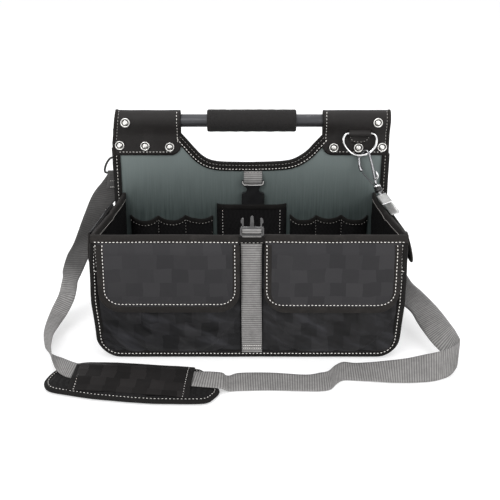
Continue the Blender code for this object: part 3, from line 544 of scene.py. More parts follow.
def new_object(name, verts, faces, uv, mats=(), face_mat=None):
    """verts in mm; uv in mm, one per vertex."""
    mesh = bpy.data.meshes.new(name)
    mesh.from_pydata((np.asarray(verts, float) * MM).tolist(), [], faces)
    layer = mesh.uv_layers.new(name="UVMap")
    index = np.empty(len(mesh.loops), int)
    mesh.loops.foreach_get("vertex_index", index)
    layer.data.foreach_set("uv", (np.asarray(uv, float)[index] * MM).ravel())
    mesh.validate()
    mesh.update()
    mesh.shade_smooth()
    ob = bpy.data.objects.new(name, mesh)
    COLLECTION.objects.link(ob)
    for mat in mats:
        mesh.materials.append(mat)
    if face_mat is not None:
        mesh.polygons.foreach_set("material_index", np.asarray(face_mat, np.int32))
    return ob


def get_coords(mesh):
    return np.array([v.co for v in mesh.vertices])


def set_coords(mesh, coords):
    mesh.vertices.foreach_set("co", coords.ravel())


def face_outward(ob, weld=False):
    bm = bmesh.new()
    bm.from_mesh(ob.data)
    if weld:
        bmesh.ops.remove_doubles(bm, verts=bm.verts, dist=1e-7)
        bmesh.ops.dissolve_degenerate(bm, edges=bm.edges, dist=1e-8)
    bmesh.ops.recalc_face_normals(bm, faces=bm.faces)
    bm.to_mesh(ob.data)
    bm.free()
    ob.data.shade_smooth()


def bake(ob):
    """Applies the modifiers."""
    bpy.context.view_layer.update()
    graph = bpy.context.evaluated_depsgraph_get()
    mesh = bpy.data.meshes.new_from_object(ob.evaluated_get(graph),
                                           preserve_all_data_layers=True, depsgraph=graph)
    ob.modifiers.clear()
    old = ob.data
    ob.data = mesh
    bpy.data.meshes.remove(old)


def subdivide(ob):
    mod = ob.modifiers.new("sub", "SUBSURF")
    mod.levels = mod.render_levels = 1


def thicken(ob, thickness, smooth=False):
    """Turns a sheet into cloth of a thickness, half to either side."""
    if smooth:
        subdivide(ob)
    mod = ob.modifiers.new("thick", "SOLIDIFY")
    mod.thickness = thickness * MM
    mod.offset = 0.0
    mod.use_even_offset = False
    mod.use_quality_normals = True
    bake(ob)


def ring_faces(rings, sides, closed=False):
    """Faces that join rings of vertices, with flat ends unless the run is closed."""
    faces = []
    for i in range(rings if closed else rings - 1):
        a, b = i * sides, (i + 1) % rings * sides
        for k in range(sides):
            n = (k + 1) % sides
            faces.append((a + k, a + n, b + n, b + k))
    if not closed:
        faces.append(tuple(reversed(range(sides))))
        faces.append(tuple(range((rings - 1) * sides, rings * sides)))
    return faces


def grid_sheet(name, columns, rows, point_at, flip=False):
    """A sheet over u, v in 0..1. point_at(u, v) gives (point, uv). Returns the object and
    its points by column and row."""
    verts, uv, faces = [], [], []
    for i in range(columns + 1):
        for j in range(rows + 1):
            point, tex = point_at(i / columns, j / rows)
            verts.append(point)
            uv.append(tex)
    for i in range(columns):
        for j in range(rows):
            k = i * (rows + 1) + j
            face = (k, k + rows + 1, k + rows + 2, k + 1)
            faces.append(face[::-1] if flip else face)
    ob = new_object(name, verts, faces, uv)
    return ob, np.array(verts).reshape(columns + 1, rows + 1, 3)


def flat_grid(outline, step):
    """An outline filled with a regular grid clipped at the edge: (points, faces)."""
    bm = bmesh.new()
    bm.faces.new([bm.verts.new((x, y, 0)) for x, y in outline])
    for axis in (0, 1):
        values = [p[axis] for p in outline]
        low, high = min(values), max(values)
        count = max(2, int(round((high - low) / step)))
        for i in range(1, count):
            place, normal = [0, 0, 0], [0, 0, 0]
            place[axis] = low + (high - low) * i / count
            normal[axis] = 1
            bmesh.ops.bisect_plane(bm, geom=bm.verts[:] + bm.edges[:] + bm.faces[:],
                                   dist=1e-4, plane_co=place, plane_no=normal)
    bmesh.ops.remove_doubles(bm, verts=bm.verts, dist=step * 0.12)
    bmesh.ops.dissolve_degenerate(bm, edges=bm.edges, dist=1e-3)
    bmesh.ops.recalc_face_normals(bm, faces=bm.faces)
    bm.verts.ensure_lookup_table()
    if sum(f.normal.z for f in bm.faces) < 0:
        bmesh.ops.reverse_faces(bm, faces=bm.faces)
    points = np.array([v.co[:2] for v in bm.verts])
    faces = [tuple(v.index for v in f.verts) for f in bm.faces]
    bm.free()
    return points, faces


def panel(name, outline, step, point_at, thickness, mat, body="bag", replaces=(), flip=False):
    """A cloth panel: outline in its own flat (u, v), laid in space by point_at(u, v)."""
    points, faces = flat_grid(outline, step)
    verts = np.array([point_at(u, v) for u, v in points])
    if flip:
        faces = [tuple(reversed(f)) for f in faces]
    ob = new_object(name, verts, faces, points)
    thicken(ob, thickness)
    return finish(ob, body, mat, replaces)


def carried_normals(path, tangent):
    """Normals carried along a path without turning about it."""
    normal = UP if abs(tangent[0][2]) < 0.9 else RIGHTWARD
    normals = []
    for t in tangent:
        normal = normal - t * normal.dot(t)
        normal = normal / max(np.linalg.norm(normal), 1e-9)
        normals.append(normal)
    return np.array(normals)


def tube(name, points, radius, mat, body, closed=False, sides=14, step=None, replaces=()):
    """Round wire; radius is a number or a function of the share of the length."""
    path = np.asarray(points, float)
    if step:
        path = resample(path, step, closed)
    tangent = tangents(path, closed)
    normal = carried_normals(path, tangent)
    if closed:
        # take out the twist that builds up round the loop
        end = unit(normal[-1] - tangent[0] * normal[-1].dot(tangent[0]))
        twist = math.atan2(np.cross(normal[0], end).dot(tangent[0]), normal[0].dot(end))
        for i in range(len(path)):
            turn = -twist * i / (len(path) - 1)
            normal[i] = (normal[i] * math.cos(turn)
                         + np.cross(tangent[i], normal[i]) * math.sin(turn))
    binormal = np.cross(tangent, normal)
    length = run_length(path)

    def radius_at(i):
        return radius(length[i] / length[-1]) if callable(radius) else radius

    def round_end(i, way, angles):
        r = radius_at(i)
        return [(path[i] + tangent[i] * way * r * 0.8 * math.sin(math.radians(a)), i,
                 r * math.cos(math.radians(a))) for a in angles]

    rings = [(point, i, radius_at(i)) for i, point in enumerate(path)]
    if not closed:
        rings = round_end(0, -1, (72, 40, 15)) + rings + round_end(-1, 1, (15, 40, 72))
    verts, uv = [], []
    for centre, i, r in rings:
        for a in np.arange(sides) * 2 * math.pi / sides:
            verts.append(centre + normal[i] * math.cos(a) * r + binormal[i] * math.sin(a) * r)
            uv.append((length[i], a * r))
    ob = new_object(name, verts, ring_faces(len(rings), sides, closed), uv)
    return finish(ob, body, mat, replaces)


def sweep(name, path, out, across, profile, mat, body="bag", closed=False, replaces=(),
          wob=0.0, seed=0.0):
    """A closed profile of (along out, along across) carried along a path. The axes are one
    vector, or one per point; wob is how far the form swells unevenly."""
    path = np.asarray(path, float)
    out, across = (np.broadcast_to(axis, path.shape) for axis in (out, across))
    along, around = run_length(path), run_length(profile)
    verts, uv = [], []
    for i, point in enumerate(path):
        swell = wobble(point, 26.0, wob, seed)
        for k, (a, b) in enumerate(profile):
            side_swell = swell * 0.6 if b > 0 else -swell * 0.6
            verts.append(point + out[i] * (a + swell) + across[i] * (b + side_swell))
            uv.append((along[i], around[k]))
    ob = new_object(name, verts, ring_faces(len(path), len(profile), closed), uv)
    face_outward(ob)
    return finish(ob, body, mat, replaces)


def fold_profile(width, half, thickness=0.9, nose=1.4):
    """A tape folded over an edge, seen end on: out of the edge (0 at it), then across."""
    h = half + thickness
    pts = [(-width, half - 0.2), (-width, h - 0.35), (-width + 0.6, h),
           (-width * 0.5, h + 0.25), (-1.2, h + 0.1)]
    pts += [(nose * math.sin(math.radians(a)), h * math.cos(math.radians(a)))
            for a in (25, 50, 75, 90)]
    return pts + [(a, -b) for a, b in pts[-2::-1]]


def stitch_bead():
    """One stitch of unit length and radius: points and faces."""
    rings, sides = 5, 8
    points = []
    for i in range(rings):
        f = -1 + 2 * i / (rings - 1)
        r = math.sqrt(max(0.0, 1 - (abs(f) ** 2.6))) * 0.9 + 0.1
        for k in range(sides):
            a = 2 * math.pi * k / sides
            points.append((f * 0.5, math.cos(a) * r,
                           math.sin(a) * r * 0.8 - 0.25 * abs(f) ** 2))
    return np.array(points), ring_faces(rings, sides)


BEAD_POINTS, BEAD_FACES = stitch_bead()
STITCH_LIFT = 0.12      # height of a stitch's middle above its line


def stitches(name, runs, mat, body="bag", pitch=5.0, length=3.0, r=0.58):
    """Runs of thread. Each run is (points, normals) with one normal per point or one for
    all; every stitch is a small rounded bead, a little uneven."""
    verts, faces, uv = [], [], []
    for points, normals in runs:
        path = np.asarray(points, float)
        normals = np.broadcast_to(np.asarray(normals, float), path.shape)
        even = resample(np.hstack([path, normals]), pitch)
        middles = 0.5 * (even[:-1] + even[1:])
        for middle, t in zip(middles, unit(even[1:, :3] - even[:-1, :3])):
            n = unit(middle[3:6] - t * middle[3:6].dot(t))
            b = np.cross(n, t)
            shift = RNG.normal(0, 0.09)
            long = length * (1 + RNG.normal(0, 0.05))
            size = BEAD_POINTS * (long, r, r)
            first = len(verts)
            verts.extend(middle[:3] + n * STITCH_LIFT + b * shift
                         + size @ np.array([t, b, n]))
            uv.extend(size[:, :2])
            faces.extend(tuple(i + first for i in f) for f in BEAD_FACES)
    return finish(new_object(name, verts, faces, uv), body, mat)


def lathe(name, profile, origin, axis, mats, body="bag", sides=40, replaces=(), bands=(),
          wob=0.0):
    """Turned form: profile of (radius, along axis). Bands of the profile listed in bands
    take the second material."""
    turn = np.array(Vector((0, 0, 1)).rotation_difference(Vector(axis).normalized())
                    .to_matrix())
    count = len(profile)
    verts, faces, uv, face_mat = [], [], [], []
    for j in range(sides):
        a = 2 * math.pi * j / sides
        for k, (r, h) in enumerate(profile):
            point = turn @ vec(math.cos(a) * r, math.sin(a) * r, h) + vec(*origin)
            if wob and 0 < k < count - 1:
                radial = turn @ vec(math.cos(a), math.sin(a), 0)
                point = point + radial * wobble(point, 9.0, wob)
            verts.append(point)
            uv.append((a * r, h))
    for j in range(sides):
        this, following = j * count, (j + 1) % sides * count
        for k in range(count - 1):
            faces.append((this + k, following + k, following + k + 1, this + k + 1))
            face_mat.append(int(k in bands))
    ob = new_object(name, verts, faces, uv, mats, face_mat)
    face_outward(ob, weld=True)
    return finish(ob, body, mats[0], replaces)


def ribbon(name, centres, edges, width, thickness, mat=WEBBING, body="bag", pitch=2.2,
           amp=0.16, columns=9, replaces=()):
    """Woven tape along centres, edges pointing across it, with ribs of height amp and thin
    selvedges."""
    centres = np.asarray(centres, float)
    stations = resample(np.hstack([centres, np.broadcast_to(edges, centres.shape)]),
                        pitch / 2)
    path, edges = stations[:, :3], unit(stations[:, 3:])
    normals = unit(np.cross(tangents(path), edges))
    shares = np.linspace(-1, 1, columns)
    verts, uv = [], []
    for i in range(len(path)):
        along = i * pitch / 2
        rib = amp * (1 if i % 2 else -1)
        half = width / 2 * (1 + 0.006 * math.sin(along / 17.0))
        for face in (1, -1):
            for f in shares[::face]:
                h = thickness / 2 * (1 - 0.35 * abs(f) ** 10) + rib * (1 - abs(f) ** 6)
                verts.append(path[i] + edges[i] * f * half + normals[i] * face * h)
                uv.append((along, f * half))
    ob = new_object(name, verts, ring_faces(len(path), 2 * columns), uv)
    return finish(ob, body, mat, replaces)


def cloth_relax(ob, pin, frames, shrink, cap, gravity, pressure=0.0, stiff=8.0):
    """Runs the cloth simulation with the pinned vertices held. pin holds weights, shrink
    is a share of the size (negative grows), cap the furthest a vertex may move."""
    group = ob.vertex_groups.new(name="pin")
    for i, weight in enumerate(pin):
        if weight > 0:
            group.add([i], float(weight), "REPLACE")
    before = get_coords(ob.data)
    mod = ob.modifiers.new("cloth", "CLOTH")
    cloth = mod.settings
    cloth.quality = 6
    cloth.mass = 0.15
    cloth.vertex_group_mass = "pin"
    cloth.pin_stiffness = 30.0
    cloth.tension_stiffness = stiff
    cloth.compression_stiffness = stiff
    cloth.shear_stiffness = stiff * 0.5
    cloth.bending_stiffness = 0.35
    cloth.shrink_min = shrink
    cloth.air_damping = 2.0
    cloth.effector_weights.gravity = gravity
    if pressure:
        cloth.use_pressure = True
        cloth.uniform_pressure_force = pressure
    mod.point_cache.frame_start = 1
    mod.point_cache.frame_end = frames + 1
    scene = bpy.context.scene
    for frame in range(1, frames + 1):
        scene.frame_set(frame)
    graph = bpy.context.evaluated_depsgraph_get()
    after = get_coords(ob.evaluated_get(graph).data)
    ob.modifiers.remove(mod)
    scene.frame_set(1)
    if len(after) == len(before):
        move = after - before
        far = np.linalg.norm(move, axis=1, keepdims=True)
        move = move * np.minimum(1.0, cap * MM / np.maximum(far, 1e-9))
        set_coords(ob.data, before + move)
        ob.data.update()
    ob.vertex_groups.clear()


# ============================================================ front wall and base
# true half width of the front at heights: (heights, half widths)
LEFT_EDGE = ([0, 14, 28, 50, 62, 84, 100, 118, 146, 170, 184],
             [206, 209.5, 212.5, 213.6, 214.6, 216.6, 216.6, 215.8, 215.5, 213, 211.5])
RIGHT_EDGE = ([0, 20, 39, 62, 84, 120, 184],
              [206.5, 209.5, 211.2, 212.6, 214.2, 214.2, 212.5])
INSERT_OUTLINE = [(-163, -89.5), (163, -89.5), (151, 89.5), (-151, 89.5)]


def half_width(side, z):
    return float(np.interp(z, *(LEFT_EDGE if side < 0 else RIGHT_EDGE)))


def warp(x, z):
    """Carries an outline drawn to +-FRONT_HALF onto the true side edges."""
    share = max(0.0, (abs(x) - 120.0) / (FRONT_HALF - 120.0))
    side = 1 if x > 0 else -1
    return x + side * (half_width(side, z) - FRONT_HALF) * share


def front_and_base():
    panel("front_wall", u_outline(-FRONT_HALF, FRONT_HALF, RIM_Z, 0.6, CORNER_R), 9.0,
          lambda u, v: (warp(u, v), -95.6 + wobble((u, 0, v), 60, 0.7), v), 2.4,
          CLOTH_BODY, replaces=("front_panel",))
    panel("base_cloth", [(-173, -93.4), (168, -93.4), (157, 93.4), (-157, 93.4)], 12.0,
          lambda u, v: (u, v, 1.35 + wobble((u, v, 0), 50, 0.25)), 2.0,
          CLOTH_BODY, replaces=("bottom_panel",))

    def insert_point(u, v):
        edge = outline_distance(np.array([[u, v]]), INSERT_OUTLINE)[0]
        return (u, v, 5.0 - 1.0 * math.exp(-edge / 3.0) + wobble((u, v, 0), 45, 0.35))

    panel("base_insert", INSERT_OUTLINE, 9.0, insert_point, 2.6, BOARD,
          replaces=("bottom_board",))


# ============================================================ side walls


def side_wall_point(side, back, down, out=0.0):
    """back runs 0..1 front to back, down 0..1 from the rim and round the lower corner."""
    y = -HALF_DEPTH + 2 * HALF_DEPTH * back
    top = RIM_Z - 6.0 * back - 3.2 * math.sin(math.pi * back) ** 0.8
    wall = top - CORNER_R
    length = wall + CORNER_R * math.pi / 2
    d = down * length
    bow = (2.2 * math.sin(math.pi * back) * math.sin(math.pi * min(1, d / length))
           + wobble((side * 50, y, d), 42, 1.1))
    # a soft vertical crease half way back
    bow -= 1.6 * math.exp(-((back - 0.52) / 0.05) ** 2) * max(0.0, 1 - d / 110.0)
    angle = (d - wall) / CORNER_R
    straight = d < wall
    half = half_width(side, max(top - d, 0.0) if straight
                      else CORNER_R - CORNER_R * math.sin(angle))
    half += (REAR_HALF - half) * back
    reach = half + out + bow
    if straight:
        return vec(side * reach, y, top - d)
    return vec(side * (reach - CORNER_R + CORNER_R * math.cos(angle)), y,
               max(0.4, CORNER_R - CORNER_R * math.sin(angle)))


def side_wall(side, name):
    wall, _ = grid_sheet(
        f"side_wall_{name}", 36, 44,
        lambda s, t: (side_wall_point(side, s, t, -1.5),
                      (-HALF_DEPTH + 2 * HALF_DEPTH * s, 184 - t * 203)),
        flip=side > 0)
    thicken(wall, 2.6)
    wall.data.materials.append(CLOTH_BODY)
    wall.data.materials.append(CLOTH_INSIDE)
    for face in wall.data.polygons:
        inside = face.normal.x * side < -0.2 or face.normal.z > 0.9
        face.material_index = 1 if inside else 0
    finish(wall, "bag", CLOTH_BODY, (f"gusset_{name}",))

    # tape over the rim, stitched through: outer face, then inner
    rim = np.array([side_wall_point(side, s, 0.0, -1.4) for s in np.linspace(0.0, 1.0, 60)])
    sweep(f"side_rim_tape_{name}", rim + vec(0, 0, 0.6), UP, vec(side, 0, 0),
          fold_profile(11.0, 1.5, 0.9, 1.2), TAPE_RIM, wob=0.15, seed=3.0 * side)
    stitches(f"side_rim_stitch_{name}",
             [(rim[1:-1] + vec(way * 2.75, 0, -8.2), vec(way, 0, 0)) for way in (side, -side)],
             THREAD_DIM)

    # tape down the back edge
    path = np.array([side_wall_point(side, 1.0, t, 0.2) for t in np.linspace(0.02, 0.98, 60)])
    out = edge_normals(path, REARWARD) * -side
    path[:, 1] = 90.0
    sweep(f"side_back_tape_{name}", path, out, REARWARD,
          [(-1, -6), (0.4, -6), (0.9, -5.4), (1.1, 0), (0.9, 3.2), (0.4, 3.4), (-1, 3.4)],
          TAPE, wob=0.1)


# ============================================================ front pockets
# folds of the slack cloth: from x, z to x, z, then height (+ forward) and width
FOLDS_LEFT = [
    (-172, 74, -112, 44, 5.2, 7.0), (-158, 62, -112, 24, -4.4, 6.0),
    (-100, 68, -24, 60, 5.2, 6.5), (-92, 54, -30, 42, -4.6, 6.0),
    (-126, 40, -54, 46, 3.8, 6.0), (-186, 46, -164, 18, 3.0, 7.0),
    (-70, 34, -24, 18, 3.0, 6.0)]
FOLDS_RIGHT = [
    (36, 68, 96, 52, 4.2, 7.0), (56, 46, 124, 60, -3.8, 6.0),
    (118, 68, 176, 46, 4.4, 7.0), (148, 44, 192, 26, -3.4, 7.0),
    (78, 32, 134, 38, 3.2, 6.0), (40, 30, 70, 14, -2.6, 6.0)]


def front_pocket(side, x0, x1, seed, folds):
    """A slack cloth panel, held at its sides and base, that falls into folds."""
    columns, rows = 66, 56
    z0, z1 = 8.0, 158.0
    r = CORNER_R - 8

    def point_at(u, v):
        x = x0 + (x1 - x0) * u
        z = z0 + (z1 - z0) * v
        # the lower outer corner follows the bag's outline
        inset = x + 202.0 if x < 0 else 200.0 - x
        if inset < r and z < z0 + r:
            low = z0 + r - math.sqrt(max(0.0, r * r - (r - max(inset, 0)) ** 2))
            z = low + (z1 - low) * v
        edge = min(u, 1 - u) * (x1 - x0)
        bulge = (1 - math.exp(-edge / 9.0)) * (1 - math.exp(-max(0.0, z - z0 - 2.0) / 8.0))
        y = -97.6 - 4.6 * bulge
        y -= wobble((x, 0, z), 22, 0.9, seed) * bulge
        for ax, az, bx, bz, height, width in folds:
            dx, dz = bx - ax, bz - az
            long = math.hypot(dx, dz)
            t = max(0.0, min(1.0, ((x - ax) * dx + (z - az) * dz) / (long * long)))
            d = math.hypot(x - ax - t * dx, z - az - t * dz)
            y -= (height * math.exp(-(d / width) ** 2)
                  * math.sin(math.pi * min(1, 0.12 + t * 0.86)) * bulge)
        return vec(x, y, z), (x, z)

    ob, _ = grid_sheet(f"pocket_cloth_{side}", columns, rows, point_at)
    pin = [1.0 if (i in (0, columns) or j == 0) else (0.75 if j >= rows - 12 else 0.0)
           for i in range(columns + 1) for j in range(rows + 1)]
    cloth_relax(ob, pin, frames=16, shrink=-0.035, cap=4.0, gravity=1.0)
    # keep it in front of the wall, and behind the flap and the edge tape (metres)
    co = get_coords(ob.data)
    reach = 0.1035 + 0.0075 * np.clip((0.078 - co[:, 2]) / 0.010, 0, 1)
    reach = np.minimum(reach, 0.0982 + 0.012 * np.clip((co[:, 2] - 0.0105) / 0.016, 0, 1))
    co[:, 1] = np.clip(co[:, 1], -reach, -0.0973)
    set_coords(ob.data, co)
    thicken(ob, 1.0, smooth=True)
    finish(ob, "bag", CLOTH_SLACK, (f"front_pocket_{side}",))


# ============================================================ front flaps
FLAP_TOP = 178.0


def front_flap(side, x0, x1, low, seed, stitch_inset):
    """stitch_inset: how far the stitch line stands in at the left, right and bottom."""
    body = f"front_flap_{side}"
    r = 30.0

    def point_at(u, v):
        # hangs from under the rim tape, steps out over the pocket, then falls a little away
        k = min(1.0, max(0.0, (177.0 - v) / 13.0))
        y = -99.0 - 6.0 * (k * k * (3 - 2 * k))
        d = (170.0 - v) / 95.0
        if d > 0:
            y -= 1.1 * math.sin(math.pi * min(1, d * 0.9)) + 0.7 * d * d
        loose = min(1, max(0, d) * 3)
        y += wobble((u, 0, v), 46, 0.85, seed) * loose
        y += wobble((u, 0, v), 17, 0.28, seed + 4) * loose
        y -= 1.2 * math.sin(math.pi * (u - x0) / (x1 - x0)) * max(0, d)
        return vec(u, y, v)

    def traced(outline):
        return np.array([point_at(x, z) for x, z in resample(outline, 3.0)])

    cloth = panel(f"flap_cloth_{side}",
                  u_outline(x0 + 1.2, x1 - 1.2, FLAP_TOP, low + 1.2, r, steps=12), 5.5,
                  point_at, 1.9, CLOTH_FLAP, None, replaces=(body,))
    edge = traced(u_outline(x0 + 1.0, x1 - 1.0, 172.0, low + 1.0, r, steps=12))
    out = outward_below(edge, REARWARD)
    across = unit(np.cross(out, tangents(edge)))
    if across[0][1] > 0:
        across = -across
    tape = sweep(f"flap_tape_{side}", edge, out, across, fold_profile(8.6, 0.95, 0.75, 1.0),
                 TAPE_RIM, None, wob=0.18, seed=seed)
    left, right, bottom = stitch_inset
    seam = traced(u_outline(x0 + left, x1 - right, 174.0, low + bottom, 20.0, steps=12))
    seam[:, 1] -= 2.0
    thread = stitches(f"flap_stitch_{side}", [(seam, FORWARD)], THREAD, None)
    for ob in (cloth, tape, thread):
        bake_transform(ob)


# ============================================================ tapes round the front
# profiles are (out of the edge, forward)
RIM_PROFILE = [
    (-9.6, 4.6), (-9.9, 5.0), (-9.4, 5.2), (-5.0, 5.0), (-1.6, 4.1), (-0.4, 3.0),
    (0.35, 1.4), (0.5, 0), (0.3, -1.4), (-0.4, -2.6), (-1.6, -3.3), (-5, -3.6),
    (-9.6, -3.4), (-9.6, -1.0), (-2.0, 0.0)]
EDGE_PROFILE = [
    (-11.0, 0.6), (-10.6, 1.9), (-6.0, 2.25), (-1.5, 2.1), (-0.2, 1.4), (0.5, 0.0),
    (0.3, -1.5), (-0.6, -2.8), (-2.2, -3.4), (-6.0, -3.5), (-6.0, -2.0), (-1.0, -0.5)]


def front_tapes():
    def rim_line(x0, x1, count, y, z):
        return np.array([(x, y + wobble((x, 0, 0), 40, 0.3), z + wobble((x, 5, 0), 70, 0.7))
                         for x in np.linspace(x0, x1, count)])

    def front_line(outline, y):
        return np.array([(warp(x, z), y, z) for x, z in resample(outline, 3.0)])

    sweep("rim_tape_front", rim_line(-212.2, 213.2, 120, -95.5, 184.9), UP, FORWARD,
          RIM_PROFILE, TAPE_RIM, replaces=("front_rim_binding",), wob=0.12)
    stitches("rim_stitch_front",
             [(rim_line(x0, x1, 92, -100.75, 176.7), FORWARD)
              for x0, x1 in ((-208, -14), (21, 209))], THREAD)

    edge = front_line(u_outline(-FRONT_HALF - 0.2, FRONT_HALF + 0.2, 174.0, 1.3, CORNER_R),
                      -97.0)
    sweep("edge_tape_front", edge, outward_below(edge, REARWARD), FORWARD, EDGE_PROFILE,
          TAPE, replaces=("front_edge_binding",), wob=0.22)
    seam = front_line(u_outline(-FRONT_HALF + 6.0, FRONT_HALF - 6.6, 172.0, 7.6,
                                CORNER_R - 7), -99.75)
    stitches("edge_stitch_front", [(seam, FORWARD)], THREAD)

    # a short reinforcing tape, bar-tacked, at each upper front corner
    for (_, name), x in zip(SIDES, (-204.6, 206.4)):
        path = [(x, -99.4 - 0.3 * math.sin((z - 139) / 37 * math.pi), z)
                for z in np.linspace(139, 176, 16)]
        sweep(f"corner_tape_{name}", path, RIGHTWARD, FORWARD,
              [(-4.4, -0.4), (-4.1, 0.5), (0, 0.8), (4.1, 0.5), (4.4, -0.4), (3.8, -0.6),
               (-3.8, -0.6)], TAPE, wob=0.1)
        stitches(f"corner_stitch_{name}",
                 [([vec(x - 0.9, -101.1, 140), vec(x - 0.9, -101.1, 174)], FORWARD)], THREAD)
        stitches(f"corner_bartack_{name}",
                 [([vec(x - 3.6, -101.0, 134.5), vec(x + 3.4, -101.0, 134.0)], FORWARD)],
                 THREAD, pitch=1.6, length=1.9, r=0.6)


# ============================================================ back panel
# lower edge of the hand opening under the handle: x, z
CUTOUT = [
    (-101.0, 271.0), (-91.5, 260.0), (-81.5, 248.1), (-71.4, 237.6), (-59.4, 230.4),
    (-43.9, 227.2), (-20.0, 226.5), (3.0, 226.3), (26.0, 226.9), (51.4, 228.3),
    (68.6, 232.2), (85.7, 243.0), (97.8, 256.0), (110.0, 269.4)]
# tape folded over the panel's edge: (out of the edge, forward)
BACK_PROFILE = [
    (-12.0, 4.4), (-12.3, 5.2), (-11.6, 5.6), (-6.0, 5.9), (-1.5, 5.3), (-0.2, 3.8),
    (0.4, 1.6), (0.5, 0), (0.4, -1.6), (-0.2, -3.8), (-1.5, -5.3), (-6.0, -5.8),
    (-11.6, -5.5), (-12.3, -5.1), (-12.0, -4.4), (-6, -2.0), (-6, 2.0)]
BASE_PROFILE = [
    (-11, 4.0), (-10.6, 4.9), (-5, 5.1), (-1, 4.6), (0.2, 3), (0.6, 0), (0.2, -3),
    (-1, -4.6), (-5, -5.1), (-10.6, -4.9), (-11, -4)]


def back_panel():
    cut = spline([(x, BACK_Y, z) for x, z in CUTOUT], 5)
    cut_out = edge_normals(cut, REARWARD)
    outline = u_outline(BACK_LEFT, BACK_RIGHT, 240.0, 0.5, CORNER_R)[1:]
    outline += [(BACK_RIGHT - 2, 279.0), (114.0, 279.0)]
    outline += [(x, z) for x, _, z in (cut - cut_out * 2.0)[::-1]]
    outline += [(-105.0, 279.0), (BACK_LEFT + 2, 279.0), (BACK_LEFT, 240.0)]
    panel("lining_panel", outline, 8.0,
          lambda u, v: (u, 95.2 + wobble((u, 0, v), 55, 0.55), v), 1.6, LINING,
          replaces=("back_lining",))
    panel("back_core", outline, 16.0, lambda u, v: (u, BACK_Y, v), 2.6, BOARD,
          replaces=("back_board",))
    panel("back_cloth", outline, 8.0,
          lambda u, v: (u, 100.7 + wobble((u, 9, v), 50, 0.6), v), 1.8, CLOTH_BODY,
          replaces=("back_cover",))

    even = resample(np.hstack([cut, cut_out]), 3.0)
    path, out = even[:, :3], unit(even[:, 3:])
    sweep("cutout_tape", path, out, FORWARD, BACK_PROFILE, TAPE,
          replaces=("cutout_binding",), wob=0.2)
    seam = path - out * 9.3
    stitches("cutout_stitch", [(seam + vec(0, -5.85, 0), FORWARD),
                               (seam + vec(0, 5.8, 0), REARWARD)], THREAD)
    stitches("cutout_stitch_top", [(path - out * 3.2 + vec(0, -5.7, 0), FORWARD)],
             THREAD_DIM, r=0.3)


def back_edge_tapes():
    for side, name in SIDES:
        x = BACK_LEFT - 1.2 if side < 0 else BACK_RIGHT + 1.2
        line = arc(x - side * CORNER_R, 1.2 + CORNER_R, CORNER_R, 270, 270 + side * 90, 12)
        line += [(x, z) for z in np.linspace(60, 240, 24)]
        path = resample([(a, BACK_Y, b) for a, b in line], 3.0)
        out = edge_normals(path, REARWARD)
        if out[-1][0] * side < 0:
            out = -out
        sweep(f"back_edge_tape_{name}", path, out, FORWARD, BACK_PROFILE, TAPE,
              replaces=(f"back_edge_binding_{name}",), wob=0.2, seed=side)
        seam = path - out * 6.8
        upper = seam[seam[:, 2] > 168]
        stitches(f"back_edge_stitch_{name}", [(upper + vec(0, -5.95, 0), FORWARD),
                                              (seam + vec(0, 5.9, 0), REARWARD)],
                 THREAD if side < 0 else THREAD_DIM, r=0.45)
    x0, x1 = BACK_LEFT + CORNER_R, BACK_RIGHT - CORNER_R
    sweep("back_base_tape", [(x, 97.6, 1.6) for x in np.linspace(x0 - 4, x1 + 4, 100)],
          DOWNWARD, FORWARD, BASE_PROFILE, TAPE, wob=0.15)
    stitches("back_base_stitch", [(span(x0, x1, 102.75, 8.2), REARWARD)], THREAD_DIM)


# ============================================================ handle: tube, grip, ears
def handle():
    bar = [(8.0, 0), (9.1, 0), (TUBE_R, 0.5), (TUBE_R, 399.5), (9.1, 400), (8.0, 400),
           (8.0, 0)]
    lathe("handle_bar", bar, (-197.0, TUBE_Y, TUBE_Z), RIGHTWARD, [PAINT], sides=56,
          replaces=("handle_tube",))
    grip = [(9.6, 0.6), (11.5, -0.1), (14.8, 0.0), (16.0, 0.7), (16.5, 2.4)]
    grip += [(16.5 + 0.12 * math.sin(h * 0.35), h) for h in np.linspace(6, 126, 46)]
    grip += [(16.5, 129.6), (16.0, 131.3), (14.8, 132.0), (11.5, 132.1), (9.6, 131.4)]
    lathe("handle_foam", grip, (-62.0, TUBE_Y, TUBE_Z), RIGHTWARD, [FOAM], sides=64,
          replaces=("handle_grip",), wob=0.22)


EAR_R = TUBE_R + 1.4    # middle of the leather where it goes round the tube


def ear_path():
    """Middle of the leather as y, z: up the front, over the tube and down the back."""
    points = [(92.8, z) for z in np.linspace(239.2, 272, 12)]
    points += [(y, TUBE_Z + (z - TUBE_Z) * (1.38 if z > TUBE_Z else 1.0))
               for y, z in arc(TUBE_Y, TUBE_Z, EAR_R, 200, -20, 26)]
    points += [(102.8, z) for z in np.linspace(272, 239.2, 12)]
    return resample(points, 1.0)


EAR_PATH = ear_path()
EAR_RUN = run_length(EAR_PATH)
EAR_TANGENT = tangents(EAR_PATH)


def ear_normal(s):
    """Outward direction a length s along the ear's path."""
    return vec(0, -np.interp(s, EAR_RUN, EAR_TANGENT[:, 1]),
               np.interp(s, EAR_RUN, EAR_TANGENT[:, 0]))


